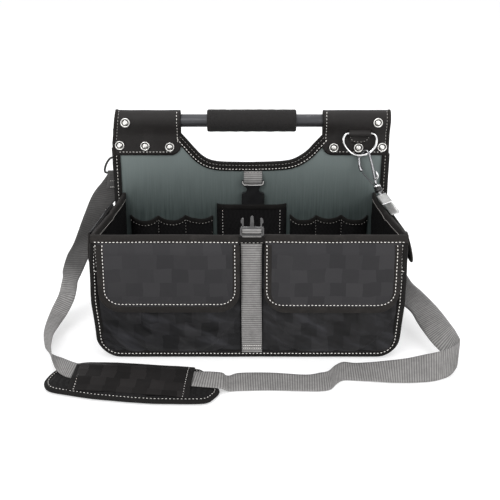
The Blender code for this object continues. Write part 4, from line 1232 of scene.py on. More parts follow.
def ear(side, x0, x1, seed):
    """Leather wrapped over the tube; its corners towards the bag's middle are rounded."""
    name = f"ear_{side}"
    inner = 1 if side == "left" else -1     # which way along X the middle lies
    length = EAR_RUN[-1]
    fold = length / 2
    r, inset = 16.0, 5.2

    def point_at(x, s, lift=0.0):
        y, z = (float(np.interp(s, EAR_RUN, EAR_PATH[:, k])) for k in (0, 1))
        if x < -150:    # the free edge of the left ear leans in towards the top
            x += 6.6 * min(1.0, max(0.0, (z - 258.0) / 46.0)) * min(1.0, (-150.0 - x) / 50.0)
        return vec(x, y, z) + ear_normal(s) * (wobble((x, y, z), 24, 0.5, seed) + lift)

    def seam(x, start, end, count=30):
        stops = np.linspace(start, end, count)
        return (np.array([point_at(x, s, 1.0) for s in stops]),
                np.array([ear_normal(s) for s in stops]))

    if inner > 0:
        inner_x, outer_x = x1, x0
        outline = ([(x0, 0.0)] + arc(x1 - r, r, r, 270, 360, 8)
                   + arc(x1 - r, length - r, r, 0, 90, 8) + [(x0, length)])
        low_x0, low_x1 = x0 + 8, x1 - 14
    else:
        inner_x, outer_x = x0, x1
        outline = ([(x1, 0.0), (x1, length)] + arc(x0 + r, length - r, r, 90, 180, 8)
                   + arc(x0 + r, r, r, 180, 270, 8))
        low_x0, low_x1 = x0 + 14, x1 - 8
    panel(name, outline, 4.5, point_at, 1.9, LEATHER, replaces=(f"handle_{name}",))

    # down the inner edge and along the lower edge, front and back
    inner_seam = inner_x - inner * inset
    runs = [seam(inner_seam, inset + 14, fold - 4),
            seam(inner_seam, fold + 4, length - inset - 14)]
    for s, normal in ((inset, FORWARD), (length - inset, REARWARD)):
        runs.append(([point_at(x, s, 1.0) for x in np.linspace(low_x0, low_x1, 40)], normal))
    stitches(name + "_stitch", runs, THREAD, r=0.42)
    stitches(name + "_stitch_outer", [seam(outer_x + inner * inset, 8, fold - 2)],
             THREAD_DIM, r=0.36)
    # piped outer edge
    path, normals = seam(outer_x, 0, length, 70)
    sweep(name + "_edge", path, vec(-inner, 0, 0), normals,
          [(-3.4, -0.6), (-3.3, 0.5), (-1.5, 0.9), (0.4, 0.6), (0.8, -0.7), (0.4, -2.0),
           (-1.5, -2.3), (-3.4, -1.9)], TAPE_RIM, wob=0.12, seed=seed)


# rivets through the ears below the tube: x, z, front face y
RIVETS = {"left": [(-193.1, 254.9, 91.3), (-155.3, 253.8, 91.3), (-118.4, 252.3, 91.3)],
          "right": [(126.7, 251.3, 91.3), (163.6, 251.3, 90.6), (199.0, 252.1, 91.3)]}
TOP_RIVETS = {"left": -182.4, "right": 190.2}   # x of the rivets through the tube


def rivet(name, node, x, z, front, back):
    """Domed front in a dished washer, shank, then a flat rear cap."""
    h = back - front
    profile = [(0, -2.25), (1.6, -2.35), (3.0, -2.2), (3.7, -1.6), (3.95, -0.95),
               (4.7, -0.85), (5.1, -1.2), (5.5, -2.0), (6.2, -2.4), (6.9, -1.9),
               (7.2, -0.9), (7.0, 0.1), (2.4, 0.3), (2.4, h - 0.3), (6.2, h - 0.1),
               (6.5, h + 0.6), (5.8, h + 1.5), (3.4, h + 1.9), (0, h + 2.0)]
    lathe(name, profile, (x, front, z), REARWARD, [RIVET_PLATE, RIVET_OXIDE],
          replaces=(node,), bands=(3, 4, 5))


def rivets():
    for side, places in RIVETS.items():
        for i, (x, z, front) in enumerate(places, 1):
            rivet(f"rivet_{side[0]}{i}", f"rivet_{side}_{i}", x, z, front, 104.3)
    reach = EAR_R + 1.2
    for side, x in TOP_RIVETS.items():
        rivet(f"rivet_{side[0]}_top", f"rivet_{side}_top", x, TUBE_Z,
              TUBE_Y - reach, TUBE_Y + reach)


# ============================================================ centre strap and buckle
def centre_strap():
    heights = np.linspace(10.0, 176.0, 60)
    path = np.array([(3.75 - 0.24 * math.sin((z - 10) / 50),
                      -99.8 - 0.9 * math.sin((z - 10) / 166 * math.pi)
                      + wobble((0, 0, z), 30, 0.3), z) for z in heights])
    path[:, 0] += np.linspace(0.5, -0.4, 60)
    ribbon("centre_strap", path, RIGHTWARD, width=28.0, thickness=1.7,
           replaces=("front_strap",))
    for k, z in enumerate((16.5, 21.0)):
        stitches(f"strap_foot_stitch_{k}", [(span(-8.5, 17.2, -101.3, z), FORWARD)], THREAD,
                 pitch=2.6, length=1.9, r=0.5)
    # the band of tape that holds the strap's end at the rim
    sweep("keeper_tape", [(x, -100.1, 180.0) for x in np.linspace(-13.2, 20.8, 18)],
          UP, FORWARD,
          [(-5.4, -0.8), (-5.3, 0.9), (-4.6, 1.5), (0, 1.9), (4.0, 1.6), (4.9, 0.8),
           (5.2, -0.8), (4.0, -1.2), (-4.4, -1.2)], TAPE, replaces=("strap_keeper",), wob=0.15)
    stitches("keeper_stitch", [(span(-12, 19.5, -101.9, 176.4), FORWARD)], THREAD_DIM, r=0.4)
    # strap end through the male buckle's bar: y, z
    end = [(-101.0, 184.2), (-101.0, 188.0), (-101.6, 190.2), (-103.6, 191.0),
           (-105.0, 192.2), (-105.3, 193.6), (-105.0, 195.6), (-103.6, 196.6)]
    ribbon("strap_end", spline([(3.9, y, z) for y, z in end], 6), RIGHTWARD, width=25.6,
           thickness=1.3, body="front_buckle", replaces=("front_strap_tab",), pitch=1.8,
           amp=0.12)


def round_edges(node, mat, width):
    """A moulded frame part keeps its shape; its edges are rounded over width."""
    ob = NODES[node]
    weld = ob.modifiers.new("weld", "WELD")
    weld.merge_threshold = 1e-6
    bevel = ob.modifiers.new("edges", "BEVEL")
    bevel.width = width * MM
    bevel.segments = 3
    bevel.limit_method = "ANGLE"
    bevel.angle_limit = math.radians(32)
    bevel.use_clamp_overlap = True
    ob.data.materials.clear()
    ob.data.materials.append(mat)
    ob.data.shade_smooth()
    weighted = ob.modifiers.new("wn", "WEIGHTED_NORMAL")
    weighted.keep_sharp = False
    set_slot(ob)


def buckle():
    for node in ("buckle_male", "buckle_latch_left", "buckle_latch_right"):
        round_edges(node, PLASTIC_GREY, width=0.5)
    round_edges("buckle_female", PLASTIC, width=0.8)

    # ribs on the male half's frame and grips on the sides of the female half
    for k, z in enumerate((201.6, 203.6, 205.6)):
        tube(f"guide_rib_{k}", [(1.9, -104.5, z), (4.2, -104.65, z), (6.5, -104.5, z)], 0.35,
             PLASTIC_GREY, "front_buckle", sides=8)
    for side, name in ((-1, "a"), (1, "b")):
        for k in range(4):
            z = 163.5 + k * 3.4
            x = 6.0 + side * 17.0
            tube(f"female_grip_{name}{k}",
                 [(x, 87.2, z), (x + side * 0.25, 89.4, z), (x, 91.6, z)], 0.45,
                 PLASTIC, "rear_buckle", sides=8)

    # painted highlight: a pale strip along the lower edge of the bar the tab runs round
    tube("rear_frame_edge",
         [(-9.6, 87.6, 199.3), (-9.4, 86.9, 196.3), (-7.6, 86.6, 194.0), (6.0, 86.5, 193.6),
          (19.6, 86.6, 194.0), (21.4, 86.9, 196.3), (21.6, 87.6, 199.3)], 0.75,
         PLASTIC_HIGHLIGHT, "rear_buckle", sides=10)

    # tab that carries the female half: y, z
    tab = [(93.35, 214.0), (93.3, 208.0), (93.2, 201.7), (92.6, 198.1), (91.0, 195.7),
           (89.4, 195.1), (87.4, 195.7), (86.0, 197.5), (85.6, 200.2), (85.8, 203.6),
           (87.4, 207.4), (90.4, 210.4), (92.4, 212.4)]
    ribbon("rear_tab", spline([(6.0, y, z) for y, z in tab], 5), RIGHTWARD, width=27.6,
           thickness=1.1, replaces=("buckle_tab",), pitch=1.6, amp=0.08)
    stitches("rear_tab_stitch", [(span(-5.5, 17.5, 91.2, 212.0), vec(0, -1, 0.2))],
             THREAD_DIM, r=0.4)


# ============================================================ pockets inside
INNER_Z = 20.0          # foot of the pockets on the back panel


def loop_strip(name, node, x0, x1, top_z, seed):
    """A band of cloth sewn down between its three loops, so that each loop bellies forward
    and its open top dips."""
    loops = 3
    width = (x1 - x0) / loops

    def point_at(u, v):
        x = x0 + (x1 - x0) * u
        k = ((x - x0) % width) / width
        belly = math.sin(math.pi * k) ** 0.7 if 0 < k < 1 else 0.0
        loop = int(min(loops - 1, (x - x0) / width))
        full = 0.72 + 0.28 * math.sin(loop * 2.3 + seed)
        top = (top_z - 1.5 - 4.5 * belly * full
               + 2.2 * math.exp(-((k - 0.5) ** 2 - 0.25) ** 2 * 60)
               + wobble((x, 0, 0), 19, 1.6, seed))
        z = INNER_Z + (top - INNER_Z) * v
        y = (92.4 - 9.5 * belly * full * (0.35 + 0.65 * v)
             + wobble((x, 0, z), 24, 0.6, seed) * belly)
        return vec(x, y, z), (x, z)

    ob, points = grid_sheet(name, loops * 18, 20, point_at)
    thicken(ob, 1.1)
    finish(ob, "bag", CLOTH_INSIDE, (node,))
    rim = points[:, -1]
    across = unit(np.cross(UP, tangents(rim)))
    across = np.where(across[:, 1:2] > 0, -across, across)
    sweep(name + "_tape", rim + vec(0, 0, 0.3), UP, across, fold_profile(8.0, 0.6, 0.6, 0.9),
          TAPE, wob=0.12, seed=seed)
    stitches(name + "_stitch", [(rim + vec(0, 0, -6.0) + across * 1.45, across)],
             THREAD_DIM, r=0.4, length=2.2)
    for i in range(loops + 1):
        x = min(x0 + width * i, x1 - 1.5) if i else x0 + 1.5
        bar = [vec(x, 91.4, z) for z in np.linspace(INNER_Z + 20, top_z - 4, 24)]
        stitches(f"{name}_bar_{i}", [(bar, FORWARD)], THREAD_DIM, r=0.36, length=2.2)


def centre_pocket():
    x0, x1, top = -49.0, 57.0, 162.0

    def point_at(x, z):
        edge = min(x - x0, x1 - x)
        belly = ((1 - math.exp(-max(0, edge) / 5.0))
                 * (1 - math.exp(-max(0, z - INNER_Z) / 10.0)))
        return vec(x, 92.2 - 7.0 * belly + wobble((x, 0, z), 30, 0.7) * belly, z)

    panel("centre_pocket", [(x0, INNER_Z), (x1, INNER_Z), (x1, top), (x0, top)], 5.0,
          point_at, 1.2, CLOTH_INSIDE, replaces=("inner_pocket_centre",))
    for x, name in ((x0 + 8.5, "l"), (x1 - 9.5, "r")):
        seam = [point_at(x, z) + vec(0, -0.8, 0) for z in np.linspace(60, top - 2, 30)]
        stitches(f"centre_pocket_stitch_{name}", [(seam, FORWARD)], THREAD, r=0.42,
                 length=2.4)
    rim = np.array([point_at(x, top) for x in np.linspace(x0, x1, 40)])
    sweep("centre_pocket_tape", rim + vec(0, 0, 0.2), UP, FORWARD,
          fold_profile(7.0, 0.65, 0.6, 0.9), TAPE, wob=0.12)


# ============================================================ side pockets and flaps
POCKET_Y0, POCKET_Y1 = -67, 43
POCKET_Z0, POCKET_Z1 = 24, 156
POCKET_Y_MID = (POCKET_Y0 + POCKET_Y1) / 2
SIDE_FLAP_W, SIDE_FLAP_H, SIDE_FLAP_R, SIDE_HINGE_Z = 108.0, 50.0, 14.0, 174.5


def side_place(side):
    """Returns at(out, y, z), which places a point on the slanting side wall, and the
    wall's outward direction."""
    frame = (Matrix.Translation((side * (FRONT_HALF + REAR_HALF) / 2, 0, 0))
             @ Matrix.Rotation(side * SIDE_TILT, 4, "Z"))
    out = vec(math.cos(side * SIDE_TILT) * side, math.sin(side * SIDE_TILT) * side, 0.0)
    return (lambda off, y, z: vec(*(frame @ Vector((side * off, y, z))))), out


def side_pocket(side, name):
    at, out = side_place(side)
    width, height = POCKET_Y1 - POCKET_Y0, POCKET_Z1 - POCKET_Z0

    def point_at(u, v):
        y = POCKET_Y0 + width * u
        z = POCKET_Z0 + height * v
        edge = min(u, 1 - u) * width
        belly = (1 - math.exp(-edge / 5.0)) * (1 - math.exp(-(z - POCKET_Z0) / 9.0))
        off = 2.6 + 5.2 * belly + wobble((y, side * 40, z), 22, 1.0) * belly
        off += 1.1 * belly * math.exp(-(((y + 10) * 0.5 + (z - 70)) / 9.0) ** 2)
        return at(off, y, z), (y, z)

    ob, _ = grid_sheet(f"side_pocket_cloth_{name}", 40, 36, point_at, flip=side < 0)
    thicken(ob, 1.2, smooth=True)
    finish(ob, "bag", CLOTH_BODY, (f"side_pocket_{name}",))

    # tape over the seam: down one edge, round two corners of radius r and up the other
    r = 12
    turns = [(r * math.cos(math.radians(a)), r * math.sin(math.radians(a)))
             for a in range(10, 90, 16)]
    front, rear, low = POCKET_Y0 + r, POCKET_Y1 - r, POCKET_Z0 + r
    loop = [(POCKET_Y0, 154), (POCKET_Y0, low)] + [(front - c, low - s) for c, s in turns]
    loop += [(front, POCKET_Z0), (rear, POCKET_Z0)] + [(rear + s, low - c) for c, s in turns]
    loop += [(POCKET_Y1, low), (POCKET_Y1, 154)]
    path = np.array([at(3.2 + wobble((y, side, z), 20, 0.2), y, z)
                     for y, z in resample(loop, 3.0)])
    sweep(f"side_pocket_tape_{name}", path, edge_normals(path, out), out,
          [(-4.6, -1.0), (-4.5, 0.8), (-3.6, 1.5), (0, 1.8), (3.6, 1.5), (4.5, 0.8),
           (4.6, -1.0)], TAPE, wob=0.12)
    stitches(f"side_pocket_stitch_{name}", [(path + out * 1.75, out)], THREAD_DIM, r=0.42)


def side_flap(side, name):
    at, out = side_place(side)
    body = f"side_flap_{name}"
    flare = math.radians(4.0 if side < 0 else 15.0)
    hinge = 10.6 if side < 0 else 8.0       # how far the hinge line stands off the wall
    half = SIDE_FLAP_W / 2

    def point_at(a, v):
        """a runs along the bag's side, v up from the hinge line."""
        d = -v
        if d < 0:
            return at(hinge + d * 0.55, POCKET_Y_MID + a, SIDE_HINGE_Z - d * 0.5)
        loose = min(1.0, d / 10.0)
        bow = (1.3 * math.sin(math.pi * min(1, d / SIDE_FLAP_H))
               + wobble((a, side * 3, d), 24, 0.7) * loose)
        off = (hinge + d * math.sin(flare) + bow * math.cos(flare)
               - 0.8 * (abs(a) / half) ** 2 * loose)
        return at(off, POCKET_Y_MID + a, SIDE_HINGE_Z - d * math.cos(flare))

    def traced(inset, top, r):
        return u_outline(-half + inset, half - inset, top, -SIDE_FLAP_H + inset, r, steps=8)

    def on_flap(outline):
        return np.array([point_at(a, v) for a, v in resample(outline, 3.0)])

    cloth = panel(f"side_flap_cloth_{name}", traced(1, 8, SIDE_FLAP_R), 5.0, point_at, 1.8,
                  CLOTH_BODY, None, replaces=(body,), flip=side > 0)
    edge = on_flap(traced(1, 0, SIDE_FLAP_R))
    normal = out * math.cos(flare) + vec(0, 0, math.sin(flare))
    tape = sweep(f"side_flap_tape_{name}", edge, outward_below(edge, normal), normal,
                 fold_profile(8.0, 0.9, 0.7, 1.0), TAPE_RIM, None, wob=0.15)
    thread = stitches(f"side_flap_stitch_{name}",
                      [(on_flap(traced(7, 0, 9)) + normal * 1.75, normal)], THREAD, None)
    start = at(hinge - 3.0, POCKET_Y_MID, 178.0)
    end = point_at(0, -7.0)
    for ob in (cloth, tape, thread):
        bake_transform(ob)
    # the flap is sewn on under a strip of tape
    path = [at(3.6 + 0.2 * math.sin(a / 9), POCKET_Y_MID + a, 175.3)
            for a in np.linspace(-55, 55, 50)]
    sweep(f"side_flap_seam_{name}", path, UP, out,
          [(-4.4, -0.8), (-4.2, 1.2), (0, 1.9), (3.4, 1.5), (3.9, 0.2), (3.2, -0.8)],
          TAPE, wob=0.12)


# ============================================================ key ring
KEY_RING = [
    (146.0, 86.5, 274.0), (155.0, 86.5, 274.0), (164.5, 86.5, 274.0), (174.0, 86.5, 274.0),
    (183.0, 86.5, 274.0), (187.6, 86.2, 271.0), (189.6, 85.9, 264.5), (188.2, 85.5, 256.0),
    (182.5, 85.1, 248.0), (174.5, 84.8, 242.6), (164.5, 84.7, 240.6), (154.5, 84.9, 243.5),
    (146.5, 85.3, 250.5), (141.4, 85.7, 258.5), (140.2, 86.0, 266.0), (142.0, 86.3, 271.5)]


def key_ring():
    """A leather strap on the right ear with the ring in its fold."""
    # the strap from the side, y, z: up, round the ring's bar and back
    side_line = [(90.3, 258.2), (90.6, 262.0), (90.4, 266.5), (89.6, 270.0)]
    side_line += arc(86.5, 274.0, 3.4, -35, -285, 12)
    side_line += [(88.6, 279.2), (89.9, 280.4)]
    line = resample(spline(side_line, 4), 1.2)
    run = run_length(line)
    x0, x1, r = 148, 181, 9

    def point_at(x, s):
        y, z = (np.interp(s, run, line[:, k]) for k in (0, 1))
        return vec(x, y + wobble((x, y, z), 12, 0.2), z)

    outline = [(x1, run[-1]), (x0, run[-1]), (x0, r)] + arc(x0 + r, r, r, 180, 270, 5)
    outline += arc(x1 - r, r, r, 270, 360, 5) + [(x1, r)]
    panel("key_ring_strap", outline, 3.0, point_at, 1.5, LEATHER,
          replaces=("key_ring_loop",))
    seam = [(150.5, 12), (150.5, 9), (153, 5), (157, 2.6), (164.5, 2.2), (172, 2.6),
            (176, 5), (178.5, 9), (178.5, 12)]
    stitches("key_ring_strap_stitch",
             [([point_at(x, s) + vec(0, -0.85, 0) for x, s in seam], FORWARD)],
             THREAD_DIM, r=0.36, length=2.2)
    tube("ring_wire", spline(KEY_RING, closed=True), 1.9, CHROME, "key_ring", closed=True,
         sides=18, step=1.6, replaces=("key_ring",))


# ============================================================ snap hook and clip
HOOK = [
    (188.6, 63.0, 204.4), (187.3, 66.5, 212.0), (184.9, 71.0, 222.5), (182.3, 75.6, 233.0),
    (180.0, 79.2, 241.0), (177.9, 81.6, 246.4), (175.0, 84.0, 249.0), (171.4, 86.9, 246.6),
    (168.0, 89.3, 240.8), (165.3, 88.8, 236.0), (165.6, 86.0, 229.0), (166.8, 82.4, 223.0),
    (168.5, 79.6, 219.4)]
HOOK_LUG = [
    (187.6, 64.2, 211.0), (190.2, 62.8, 213.5), (191.0, 62.4, 217.5), (189.0, 65.0, 221.5),
    (187.0, 68.0, 222.0)]
GATE = [(186.0, 62.6, 201.6), (180.5, 67.3, 206.9), (174.5, 72.6, 212.6),
        (170.0, 76.4, 216.4)]
HOOK_BASE = vec(189.8, 61.0, 201.6)
SWIVEL_AXIS = unit(vec(194.5, 52.5, 191.0) - HOOK_BASE)
FERRULE_PROFILE = [
    (0, 0), (2.6, 0), (4.0, 0.3), (5.2, 0.9), (5.65, 1.5), (5.4, 2.0), (5.65, 2.6),
    (5.6, 3.4), (5.0, 4.0), (3.0, 4.2), (0, 4.2)]
BARREL_PROFILE = [
    (0, 0), (3.4, 0.0), (4.6, 0.3), (5.7, 1.0), (6.0, 1.7), (6.0, 2.4), (5.6, 2.7),
    (5.6, 3.3), (6.0, 3.6), (6.0, 5.2), (5.6, 6.1), (4.6, 6.7), (0, 6.8)]
# ends of the clip's top plate and of its lever
PLATE_START, PLATE_END = vec(195.2, 49.6, 191.4), vec(201.2, 24.0, 188.0)
LEVER_START, LEVER_END = vec(201.8, 21.6, 187.7), vec(208.0, -14.0, 185.2)


def snap_hook():
    tube("hook_body", spline(HOOK),
         lambda s: 2.35 - 0.45 * math.sin(math.pi * s) + (0.35 if s > 0.93 else 0.0),
         CHROME_PAINTED_DARK, "snap_hook", sides=18, step=1.0, replaces=("snap_hook",))
    # thumb lug on the arm
    tube("hook_lug", HOOK_LUG, lambda s: 1.9 - 1.1 * s, CHROME, "snap_hook", sides=12,
         step=0.8)
    lathe("hook_ferrule", FERRULE_PROFILE, HOOK_BASE - SWIVEL_AXIS * 0.6, SWIVEL_AXIS,
          [CHROME], "snap_hook", 36, replaces=("hook_collar",))
    tube("gate_wire", spline(GATE), 0.95, CHROME_SHADED, "hook_gate", sides=12, step=0.8,
         replaces=("hook_gate",))
    lathe("swivel_barrel", BARREL_PROFILE, HOOK_BASE + SWIVEL_AXIS * 4.0, SWIVEL_AXIS,
          [PLASTIC], "clip", 36, replaces=("hook_swivel",))


def plate_across(along):
    """Direction across a clip plate that runs along the unit vector along."""
    wide = unit(vec(0.90, 0.08, 0.30))
    return unit(wide - along * wide.dot(along))


def clip_plate(name, start, end, width, thickness, body, node, end_r, ribs=0, curl=0.0):
    """A pressed metal plate, ribbed across or smooth, with turned-down edges."""
    along = unit(end - start)
    across = plate_across(along)
    up = np.cross(along, across)
    if up[2] < 0:
        up = -up
    length = np.linalg.norm(end - start)
    steps, columns, lift = 64, 13, 0.6
    verts, uv = [], []
    for i in range(steps + 1):
        s = i / steps
        half = width / 2
        edge = min(s, 1 - s) * length
        if edge < end_r:
            half -= end_r - math.sqrt(max(0, end_r ** 2 - (end_r - edge) ** 2))
        for face in (1, -1):
            for c in np.linspace(-1, 1, columns)[::face]:
                h = face * thickness / 2
                if ribs and face > 0 and 0.06 < s < 0.94 and abs(c) < 0.86:
                    h += 0.32 * (0.5 + 0.5 * math.cos(2 * math.pi * ribs * s)) - 0.1
                crown = -1.3 * abs(c) ** 4 + curl * (s - 0.5) ** 2 * 4
                verts.append(start + along * length * s + across * c * half
                             + up * (lift + h + crown * 0.6))
                uv.append((s * length, c * half))
    ob = new_object(name, verts, ring_faces(steps + 1, 2 * columns), uv)
    face_outward(ob)
    finish(ob, body, CHROME_BRUSHED, (node,))


def clip():
    clip_plate("clip_top_plate", PLATE_START, PLATE_END, 15.0, 1.2, "clip", "clip_plate",
               end_r=1.2, ribs=11)
    clip_plate("clip_lever_plate", LEVER_START, LEVER_END, 13.0, 1.1, "clip_lever",
               "clip_lever", end_r=3.2, curl=-0.8)
    plate, lever = PLATE_END - PLATE_START, LEVER_END - LEVER_START
    across = plate_across(unit(lever))
    pin = PLATE_END + (LEVER_START - PLATE_END) * 0.5
    tube("clip_pin", [pin - across * 7.2, pin, pin + across * 7.2], 0.95, CHROME, "clip")
    # along the plates' edge: a point, how far out along across, how far down
    jaw = [(PLATE_START, 6.2, 2.6), (PLATE_START + plate * 0.4, 7.0, 3.8),
           (PLATE_END, 6.4, 3.0), (LEVER_START + lever * 0.5, 5.6, 2.0),
           (LEVER_START + lever * 0.86, 4.0, 0.6)]
    tube("clip_jaw_rail",
         spline([p - across * off + DOWNWARD * drop for p, off, drop in jaw], 6),
         lambda s: 1.05 - 0.3 * s, CHROME_PAINTED_DARK, "clip", sides=12, step=1.2)
    tube("clip_neck",
         [HOOK_BASE + SWIVEL_AXIS * 10.0, HOOK_BASE + SWIVEL_AXIS * 11.6,
          PLATE_START + vec(-0.6, 1.2, 0.2), PLATE_START + unit(plate) * 2.5],
         lambda s: 2.6 - 0.9 * s, CHROME, "clip")


# ============================================================ shoulder strap
RING_Y, RING_Z = 108.5, 231.0       # the bar of each strap ring
# ring wires: x, z
STRAP_RINGS = {
    "left": [(-207.0, 231.0), (-201.0, 231.0), (-195.0, 231.0), (-186.5, 227.5),
             (-177.5, 219.5), (-173.6, 210.0), (-177.5, 206.4), (-197.0, 206.4),
             (-217.0, 206.4), (-220.8, 210.0), (-218.0, 220.0), (-212.5, 228.3)],
    "right": [(181.0, 231.0), (187.0, 231.0), (193.0, 231.0), (201.0, 227.0),
              (208.0, 218.5), (210.6, 210.0), (207.0, 206.4), (187.0, 206.4),
              (167.0, 206.4), (163.4, 210.0), (166.5, 218.5), (173.5, 227.3)]}
# strap centre x, y, z and the direction across it x, y, z, from the left ring, round the
# floor in front of the bag, to the right ring
STRAP_STATIONS = [
    (-201, 106.5, 182, 1, 0, 0), (-198.5, 106, 194, 1, 0, 0),
    (-197, 105.5, 201.5, 1, 0, 0), (-197, 106, 207.5, 1, 0, 0),
    (-197, 108.5, 209.5, 1, 0, 0), (-197, 111, 207.5, 1, 0, 0),
    (-199.5, 111, 199.5, 0.99, 0.03, -0.12), (-207.5, 110, 187.5, 0.97, 0.10, -0.22),
    (-222, 105.5, 170, 0.98, 0.08, -0.20), (-236, 96, 146, 0.97, 0.22, 0.13),
    (-254, 84, 106, 0.93, 0.28, 0.24), (-265, 66, 82.5, 0.95, -0.28, 0.12),
    (-270, 52, 68.5, 0.89, -0.41, 0.18), (-272, 38, 59, 0.73, -0.66, 0.17),
    (-272.5, 22, 50.5, 0.78, -0.53, 0.34), (-274, 6, 43, 0.72, -0.69, 0.08),
    (-285, 2.5, 22.5, 0.70, -0.71, 0.06), (-288.5, -29, 19.5, 0.62, -0.77, 0.16),
    (-289, -59.5, 18.5, 0.54, -0.78, 0.32), (-284.5, -88, 17, 0.44, -0.79, 0.43),
    (-279.5, -107, 17.5, 0.36, -0.82, 0.44), (-271, -123, 13, 0.20, -0.95, 0.24),
    (-257.5, -137, 10, 0.02, -1, 0.01), (-234, -151, 9, -0.12, -0.99, 0),
    (-194, -156, 9, -0.12, -0.99, 0), (-154, -161, 9, -0.13, -0.99, 0),
    (-113.5, -166.5, 9, -0.13, -0.99, 0), (-73.5, -171.5, 9, -0.13, -0.99, 0),
    (-54, -174, 9.5, -0.07, -1, -0.03), (-37, -176, 9, -0.02, -1, -0.03),
    (-31, -175, 5, 0.02, -1, 0), (-25, -171.5, 2, 0.02, -1, -0.03),
    (-11, -170, 3.5, 0.04, -0.99, -0.12), (29, -169, 3.5, 0.02, -0.99, -0.11),
    (75, -171, 2.5, -0.05, -1, -0.05), (95.5, -171, 4, -0.03, -0.99, -0.14),
    (108, -166.5, 4, 0.03, -0.99, -0.14), (118, -152.5, 4.5, -0.01, -0.99, -0.16),
    (129, -143.5, 4.5, -0.05, -0.98, -0.17), (146.5, -144.5, 4, 0.01, -0.99, -0.14),
    (166.5, -147, 5.5, 0, -0.98, -0.20), (186.5, -150, 7.5, 0, -0.95, -0.32),
    (211.5, -152.5, 10.5, -0.07, -0.88, -0.48), (231.5, -154, 14, -0.05, -0.75, -0.66),
    (252, -154.5, 18, -0.02, -0.48, -0.88), (270, -146.5, 19, -0.07, -0.47, -0.88),
    (282, -136, 21, -0.18, -0.70, -0.69), (289.5, -118, 20, -0.25, -0.80, -0.55),
    (284, -100, 21, -0.51, -0.65, -0.56), (273.5, -82, 28, -0.77, -0.36, -0.52),
    (263.5, -52, 34.5, -0.88, -0.22, -0.42), (254, -18, 40.5, -0.84, -0.48, -0.26),
    (244, 14, 40.5, -0.82, -0.43, -0.39), (237, 46, 37, -0.76, -0.41, -0.50),
    (233, 79, 40, -0.50, -0.50, -0.70), (225.5, 106, 46, -0.30, -0.51, -0.81),
    (214.5, 122, 62, -0.75, -0.35, -0.56), (200, 123, 90, -0.97, -0.20, -0.10),
    (190, 118, 125, -1, 0, 0), (187, 112.5, 165, -1, 0, 0), (187, 111.5, 192, -1, 0, 0),
    (187, 111, 203, -1, 0, 0), (187, 111, 207.5, -1, 0, 0), (187, 108.5, 209.5, -1, 0, 0),
    (187, 106, 207.5, -1, 0, 0), (187, 105.5, 201.5, -1, 0, 0), (187, 106.5, 192, -1, 0, 0),
    (187, 107, 180, -1, 0, 0)]
# stitching of the sewn ends: name, middle x, two rows of (y, z), facing, thread
STRAP_ENDS = [
    ("left_a", -199.5, ((110.6, 186.0), (111.5, 195.0)), REARWARD, THREAD_DIM),
    ("right_a", 187.0, ((112.6, 186.0), (112.6, 195.0)), REARWARD, THREAD_DIM),
    ("left_b", -198.5, ((105.4, 184.5), (105.4, 194.5)), FORWARD, THREAD),
    ("right_b", 187.0, ((105.6, 184.5), (105.6, 194.5)), FORWARD, THREAD)]


def strap_rings():
    """Narrow tapes on the back panel, and the wire rings they hold."""
    for x, name in ((-201.0, "left"), (187.0, "right")):
        line = [(103.9, 214.0), (104.2, 219.0), (104.7, 223.5), (105.6, 227.6)]
        line += arc(RING_Y, RING_Z, 2.9, -150, 150, 14)
        line += [(106.2, 236.5), (104.9, 241.0), (104.4, 247.5)]
        ribbon(f"ring_chape_{name}", spline([(x, y, z) for y, z in line], 4), RIGHTWARD,
               width=13.0, thickness=1.3, mat=TAPE, pitch=1.5, amp=0.07,
               replaces=(f"shoulder_chape_{name}",))
        stitches(f"ring_chape_stitch_{name}",
                 [(span(x - 5, x + 5, 105.4, 217.0), REARWARD),
                  (span(x - 5, x + 5, 105.7, 243.5), REARWARD)],
                 THREAD_DIM, pitch=2.4, length=1.8, r=0.45)
    for name, points in STRAP_RINGS.items():
        tube(f"strap_ring_{name}", spline([(x, RING_Y, z) for x, z in points], closed=True),
             1.65, WIRE, "bag", closed=True, step=1.6, replaces=(f"shoulder_ring_{name}",))


def shoulder_strap():
    stations = spline(STRAP_STATIONS)
    path, edges = stations[:, :3], stations[:, 3:]
    for point in path:
        if point[0] < -245 or point[0] > 225:
            point[0] += wobble(point, 60, 0.8)
    path[:, 2] = np.maximum(path[:, 2], 1.3)
    ribbon("strap_webbing", path, edges, width=38.0, thickness=1.7, pitch=2.3, amp=0.17,
           columns=11, replaces=("shoulder_strap",))
    for name, x, rows, facing, thread in STRAP_ENDS:
        for k, (y, z) in enumerate(rows):
            stitches(f"strap_end_stitch_{name}{k}", [(span(x - 15, x + 15, y, z), facing)],
                     thread, pitch=2.6, length=1.9, r=0.5)


# ============================================================ shoulder pad
# the pad lies flat on the floor: x, y
PAD_OUTLINE = spline([
    (-262, -140), (-268, -151), (-272, -164), (-273, -175), (-268, -188), (-259, -195),
    (-244, -200), (-226, -205), (-203, -211), (-179, -215), (-153, -219), (-127, -222),
    (-95, -223), (-63, -223), (-52, -220), (-45, -211), (-39, -199), (-40, -189),
    (-48, -172), (-54, -156), (-62, -144), (-72, -138), (-102, -133), (-136, -129),
    (-164, -126), (-192, -123), (-220, -123), (-241, -128), (-254, -132)], 4, closed=True)


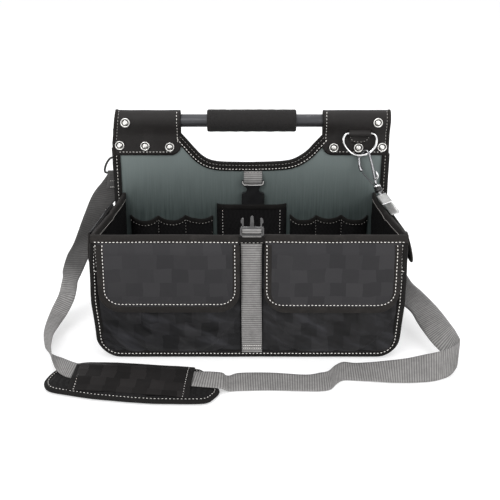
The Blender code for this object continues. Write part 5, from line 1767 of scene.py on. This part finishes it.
def pad():
    """A quilted form, thin at its bound edge and full in the middle."""
    points, flat_faces = flat_grid(PAD_OUTLINE, 5.0)
    edge = outline_distance(points, PAD_OUTLINE)
    quilt = 1 - 0.28 * np.exp(-((edge - 8.0) / 1.6) ** 2)
    height = (1 - np.exp(-edge / 5.5)) * quilt
    top = [(x, y, 3.2 + 4.2 * h + wobble((x, y, 0), 20, 0.35) * h)
           for (x, y), h in zip(points, height)]
    bottom = [(x, y, 3.0 - 2.4 * min(1, h * 1.3)) for (x, y), h in zip(points, height)]
    count = len(points)
    faces = flat_faces + [tuple(i + count for i in reversed(f)) for f in flat_faces]
    ob = new_object("pad_body", top + bottom, faces, np.vstack([points, points]))
    # join the two faces along the outline
    bm = bmesh.new()
    bm.from_mesh(ob.data)
    bm.verts.ensure_lookup_table()
    pairs = {}
    for i in range(count):
        if edge[i] < 0.05:
            pairs[bm.verts[i + count]] = bm.verts[i]
            bm.verts[i].co.z = 3.1 * MM
    bmesh.ops.weld_verts(bm, targetmap=pairs)
    bmesh.ops.recalc_face_normals(bm, faces=bm.faces)
    bm.to_mesh(ob.data)
    bm.free()
    flat = get_coords(ob.data)[:, :2] / MM
    pin = (outline_distance(flat, PAD_OUTLINE) < 8.5).astype(float)
    cloth_relax(ob, pin, frames=14, shrink=-0.02, cap=1.3, gravity=0.0, pressure=2.0,
                stiff=12.0)
    co = get_coords(ob.data)
    co[:, 2] = np.clip(co[:, 2], 0.0005, 0.0079)
    set_coords(ob.data, co)
    ob.data.update()
    subdivide(ob)
    bake(ob)
    ob.data.shade_smooth()
    finish(ob, "shoulder_pad", CLOTH_PAD_EDGE, ("shoulder_pad",))

    path = resample([(x, y, 3.3) for x, y in PAD_OUTLINE], 3.0, closed=True)
    out = edge_normals(path, UP, closed=True)
    if (path[0] + out[0] * 3 - path.mean(0)) @ out[0] < 0:
        out = -out
    sweep("pad_tape", path, out, UP,
          [(-6.4, 0.2), (-6.2, 2.6), (-5.0, 3.2), (-2.0, 2.6), (-0.3, 1.6), (0.3, 0),
           (-0.3, -1.5), (-2.0, -2.3), (-5.0, -2.6), (-6.2, -2.3), (-6.4, -0.2)],
          TAPE, "shoulder_pad", closed=True, wob=0.2)
    seam = path - out * 5.4
    stitches("pad_stitch", [(np.vstack([seam, seam[:1]]) + vec(0, 0, 3.15), UP)], THREAD,
             "shoulder_pad", r=0.42, length=2.5)


def room_to_edge(origin, direction):
    """How far from origin, along direction, the pad's outline is."""
    way = unit(direction)
    best = 1e9
    for a, b in zip(PAD_OUTLINE, np.roll(PAD_OUTLINE, -1, 0)):
        edge = b - a
        cross = way[0] * edge[1] - way[1] * edge[0]
        if abs(cross) < 1e-9:
            continue
        to_a = a - origin
        distance = (to_a[0] * edge[1] - to_a[1] * edge[0]) / cross
        share = (to_a[0] * way[1] - to_a[1] * way[0]) / cross
        if distance > 0 and 0 <= share <= 1:
            best = min(best, distance)
    return best


def pad_sleeve():
    """The cloth sleeve the webbing runs through, bound at both ends."""
    start = vec(-234.1, -151.0, 0.0)
    along = unit(vec(-73.4, -171.4, 0.0) - start)
    across = vec(-along[1], along[0], 0.0)
    half = 46

    def point_at(u, v):
        s = 160.5 * u - 0.5
        a = -half + 2 * half * v
        share = abs(a) / half
        z = (12.4 if abs(a) < 22
             else 7.6 + 4.8 * max(0.0, 1 - ((abs(a) - 22) / 22.0)) ** 1.3)
        z -= 0.7 * math.exp(-min(s, 160 - s) / 4.0)
        z += wobble((s, a, 1), 16, 0.45) + 0.35 * math.sin(s / 13.0 + a / 21.0)
        bowed = -2.0 * math.sin(math.pi * s / 160.0) * (1 if a > 0 else -1) * share
        spine = start + along * (s + 5.5 * (0.5 - v))
        point = spine + across * (a + bowed) + vec(0, 0, z)
        if share > 0.02:
            # stays inside the pad's outline, a few mm in from its edge
            reach = (point - spine)[:2]
            room = room_to_edge(spine[:2], reach)
            far = float(np.linalg.norm(reach))
            point[:2] = spine[:2] + reach * min(1.0, (room - 2.6) / (half * far / abs(a)))
            left = room - float(np.linalg.norm(point[:2] - spine[:2]))
            if left < 9:
                point[2] = min(point[2], 7.0 + 0.25 * left)
        return point, (s, a)

    ob, points = grid_sheet("pad_sleeve_cloth", 56, 34, point_at)
    thicken(ob, 1.1)
    finish(ob, "shoulder_pad", CLOTH_PAD, ("pad_sleeve",))
    for i, (end, way) in enumerate(((points[0], -1), (points[-1], 1))):
        path = resample(end, 2.5)
        sweep(f"sleeve_tape_{i}", path, along * way, UP, fold_profile(6.0, 0.6, 0.6, 0.9),
              TAPE, "shoulder_pad", wob=0.15)
        stitches(f"sleeve_stitch_{i}", [(path - along * way * 7.4 + vec(0, 0, 1.0), UP)],
                 THREAD, "shoulder_pad", r=0.42, length=2.4)


# ============================================================ stage, light, camera (metres)
def stage_floor():
    half, z = 6.0, -0.0006
    mesh = bpy.data.meshes.new("floor")
    mesh.from_pydata([(-half, -half, z), (half, -half, z), (half, half, z),
                      (-half, half, z)], [], [(0, 1, 2, 3)])
    floor = bpy.data.objects.new("floor", mesh)
    COLLECTION.objects.link(floor)
    s = Shader("floor_paper", rough=0.9, spec=0.05)
    s.color(s.mix_color(s.noise(s.obj, scale=3.0), (0.60, 0.60, 0.60), (0.62, 0.62, 0.62)))
    s.inputs["Emission Color"].default_value = (1, 1, 1, 1)
    s.inputs["Emission Strength"].default_value = 0.50
    mesh.materials.append(s.material)


def studio_world():
    """Pale light, a little dimmer overhead; the camera itself sees plain white."""
    world = bpy.data.worlds.new("studio")
    bpy.context.scene.world = world
    world.use_nodes = True
    nodes, link = world.node_tree.nodes, world.node_tree.links.new
    light = nodes["Background"]
    coords = nodes.new("ShaderNodeTexCoord")
    parts = nodes.new("ShaderNodeSeparateXYZ")
    link(coords.outputs["Generated"], parts.inputs[0])
    ramp = nodes.new("ShaderNodeValToRGB")
    link(parts.outputs[2], ramp.inputs[0])
    low, high = ramp.color_ramp.elements
    low.position, low.color = 0.0, (0.95, 0.95, 0.95, 1)
    high.position, high.color = 0.9, (0.80, 0.80, 0.82, 1)
    link(ramp.outputs[0], light.inputs["Color"])
    light.inputs["Strength"].default_value = 0.95
    white = nodes.new("ShaderNodeBackground")
    white.inputs["Color"].default_value = (1, 1, 1, 1)
    white.inputs["Strength"].default_value = 1.0
    path = nodes.new("ShaderNodeLightPath")
    mix = nodes.new("ShaderNodeMixShader")
    link(path.outputs["Is Camera Ray"], mix.inputs[0])
    link(light.outputs[0], mix.inputs[1])
    link(white.outputs[0], mix.inputs[2])
    link(mix.outputs[0], nodes["World Output"].inputs[0])


def area_light(name, location, target, size, power):
    data = bpy.data.lights.new(name, "AREA")
    data.shape = "RECTANGLE"
    data.size, data.size_y = size
    data.energy = power
    ob = bpy.data.objects.new(name, data)
    ob.location = location
    aim = Vector(target) - Vector(location)
    ob.rotation_euler = aim.to_track_quat("-Z", "Y").to_euler()
    COLLECTION.objects.link(ob)


def lights():
    area_light("key", location=(-0.9, -1.5, 1.5), target=(0, 0, 0.12), size=(1.0, 0.8),
               power=16.0)
    area_light("fill", location=(1.3, -1.1, 0.9), target=(0, 0, 0.12), size=(0.9, 0.9),
               power=8.0)
    area_light("top", location=(0.0, 0.1, 1.7), target=(0, 0, 0.1), size=(1.2, 1.0),
               power=10.0)
    area_light("rear", location=(0.2, 1.6, 1.1), target=(0, 0, 0.15), size=(1.2, 0.8),
               power=8.0)


def camera():
    data = bpy.data.cameras.new("camera")
    data.sensor_width = 36.0
    data.lens = 66.06
    data.clip_start = 0.05
    ob = bpy.data.objects.new("camera", data)
    ob.location = (0.0015, -1.2342, 0.6394)
    pitch_down = 0.396
    ob.rotation_euler = (math.pi / 2 - pitch_down, 0, 0)
    COLLECTION.objects.link(ob)
    scene = bpy.context.scene
    scene.camera = ob
    scene.view_settings.view_transform = "Standard"
    scene.view_settings.look = "None"


# ============================================================ build
# The order matters: the stitches share one random sequence.
front_and_base()
for side, name in SIDES:
    side_wall(side, name)
front_pocket("left", -206.0, -11.0, seed=1.3, folds=FOLDS_LEFT)
front_pocket("right", 18.5, 204.0, seed=5.1, folds=FOLDS_RIGHT)
front_flap("left", -205.0, -12.2, low=75.3, seed=2.0, stitch_inset=(9.0, 6.6, 13.2))
front_flap("right", 20.8, 205.0, low=74.6, seed=9.0, stitch_inset=(3.4, 6.4, 12.4))
front_tapes()
back_panel()
back_edge_tapes()
handle()
ear("left", -203.6, -101.5, seed=1.7)
ear("right", 109.5, 208.8, seed=6.3)
rivets()
centre_strap()
buckle()
loop_strip("loops_left", "inner_loops_left", -182.0, -56.0, top_z=141.5, seed=0.6)
loop_strip("loops_right", "inner_loops_right", 64.0, 182.0, top_z=142.0, seed=2.4)
centre_pocket()
for side, name in SIDES:
    side_pocket(side, name)
    side_flap(side, name)
key_ring()
snap_hook()
clip()
strap_rings()
shoulder_strap()
pad()
pad_sleeve()
stage_floor()
studio_world()
lights()
camera()
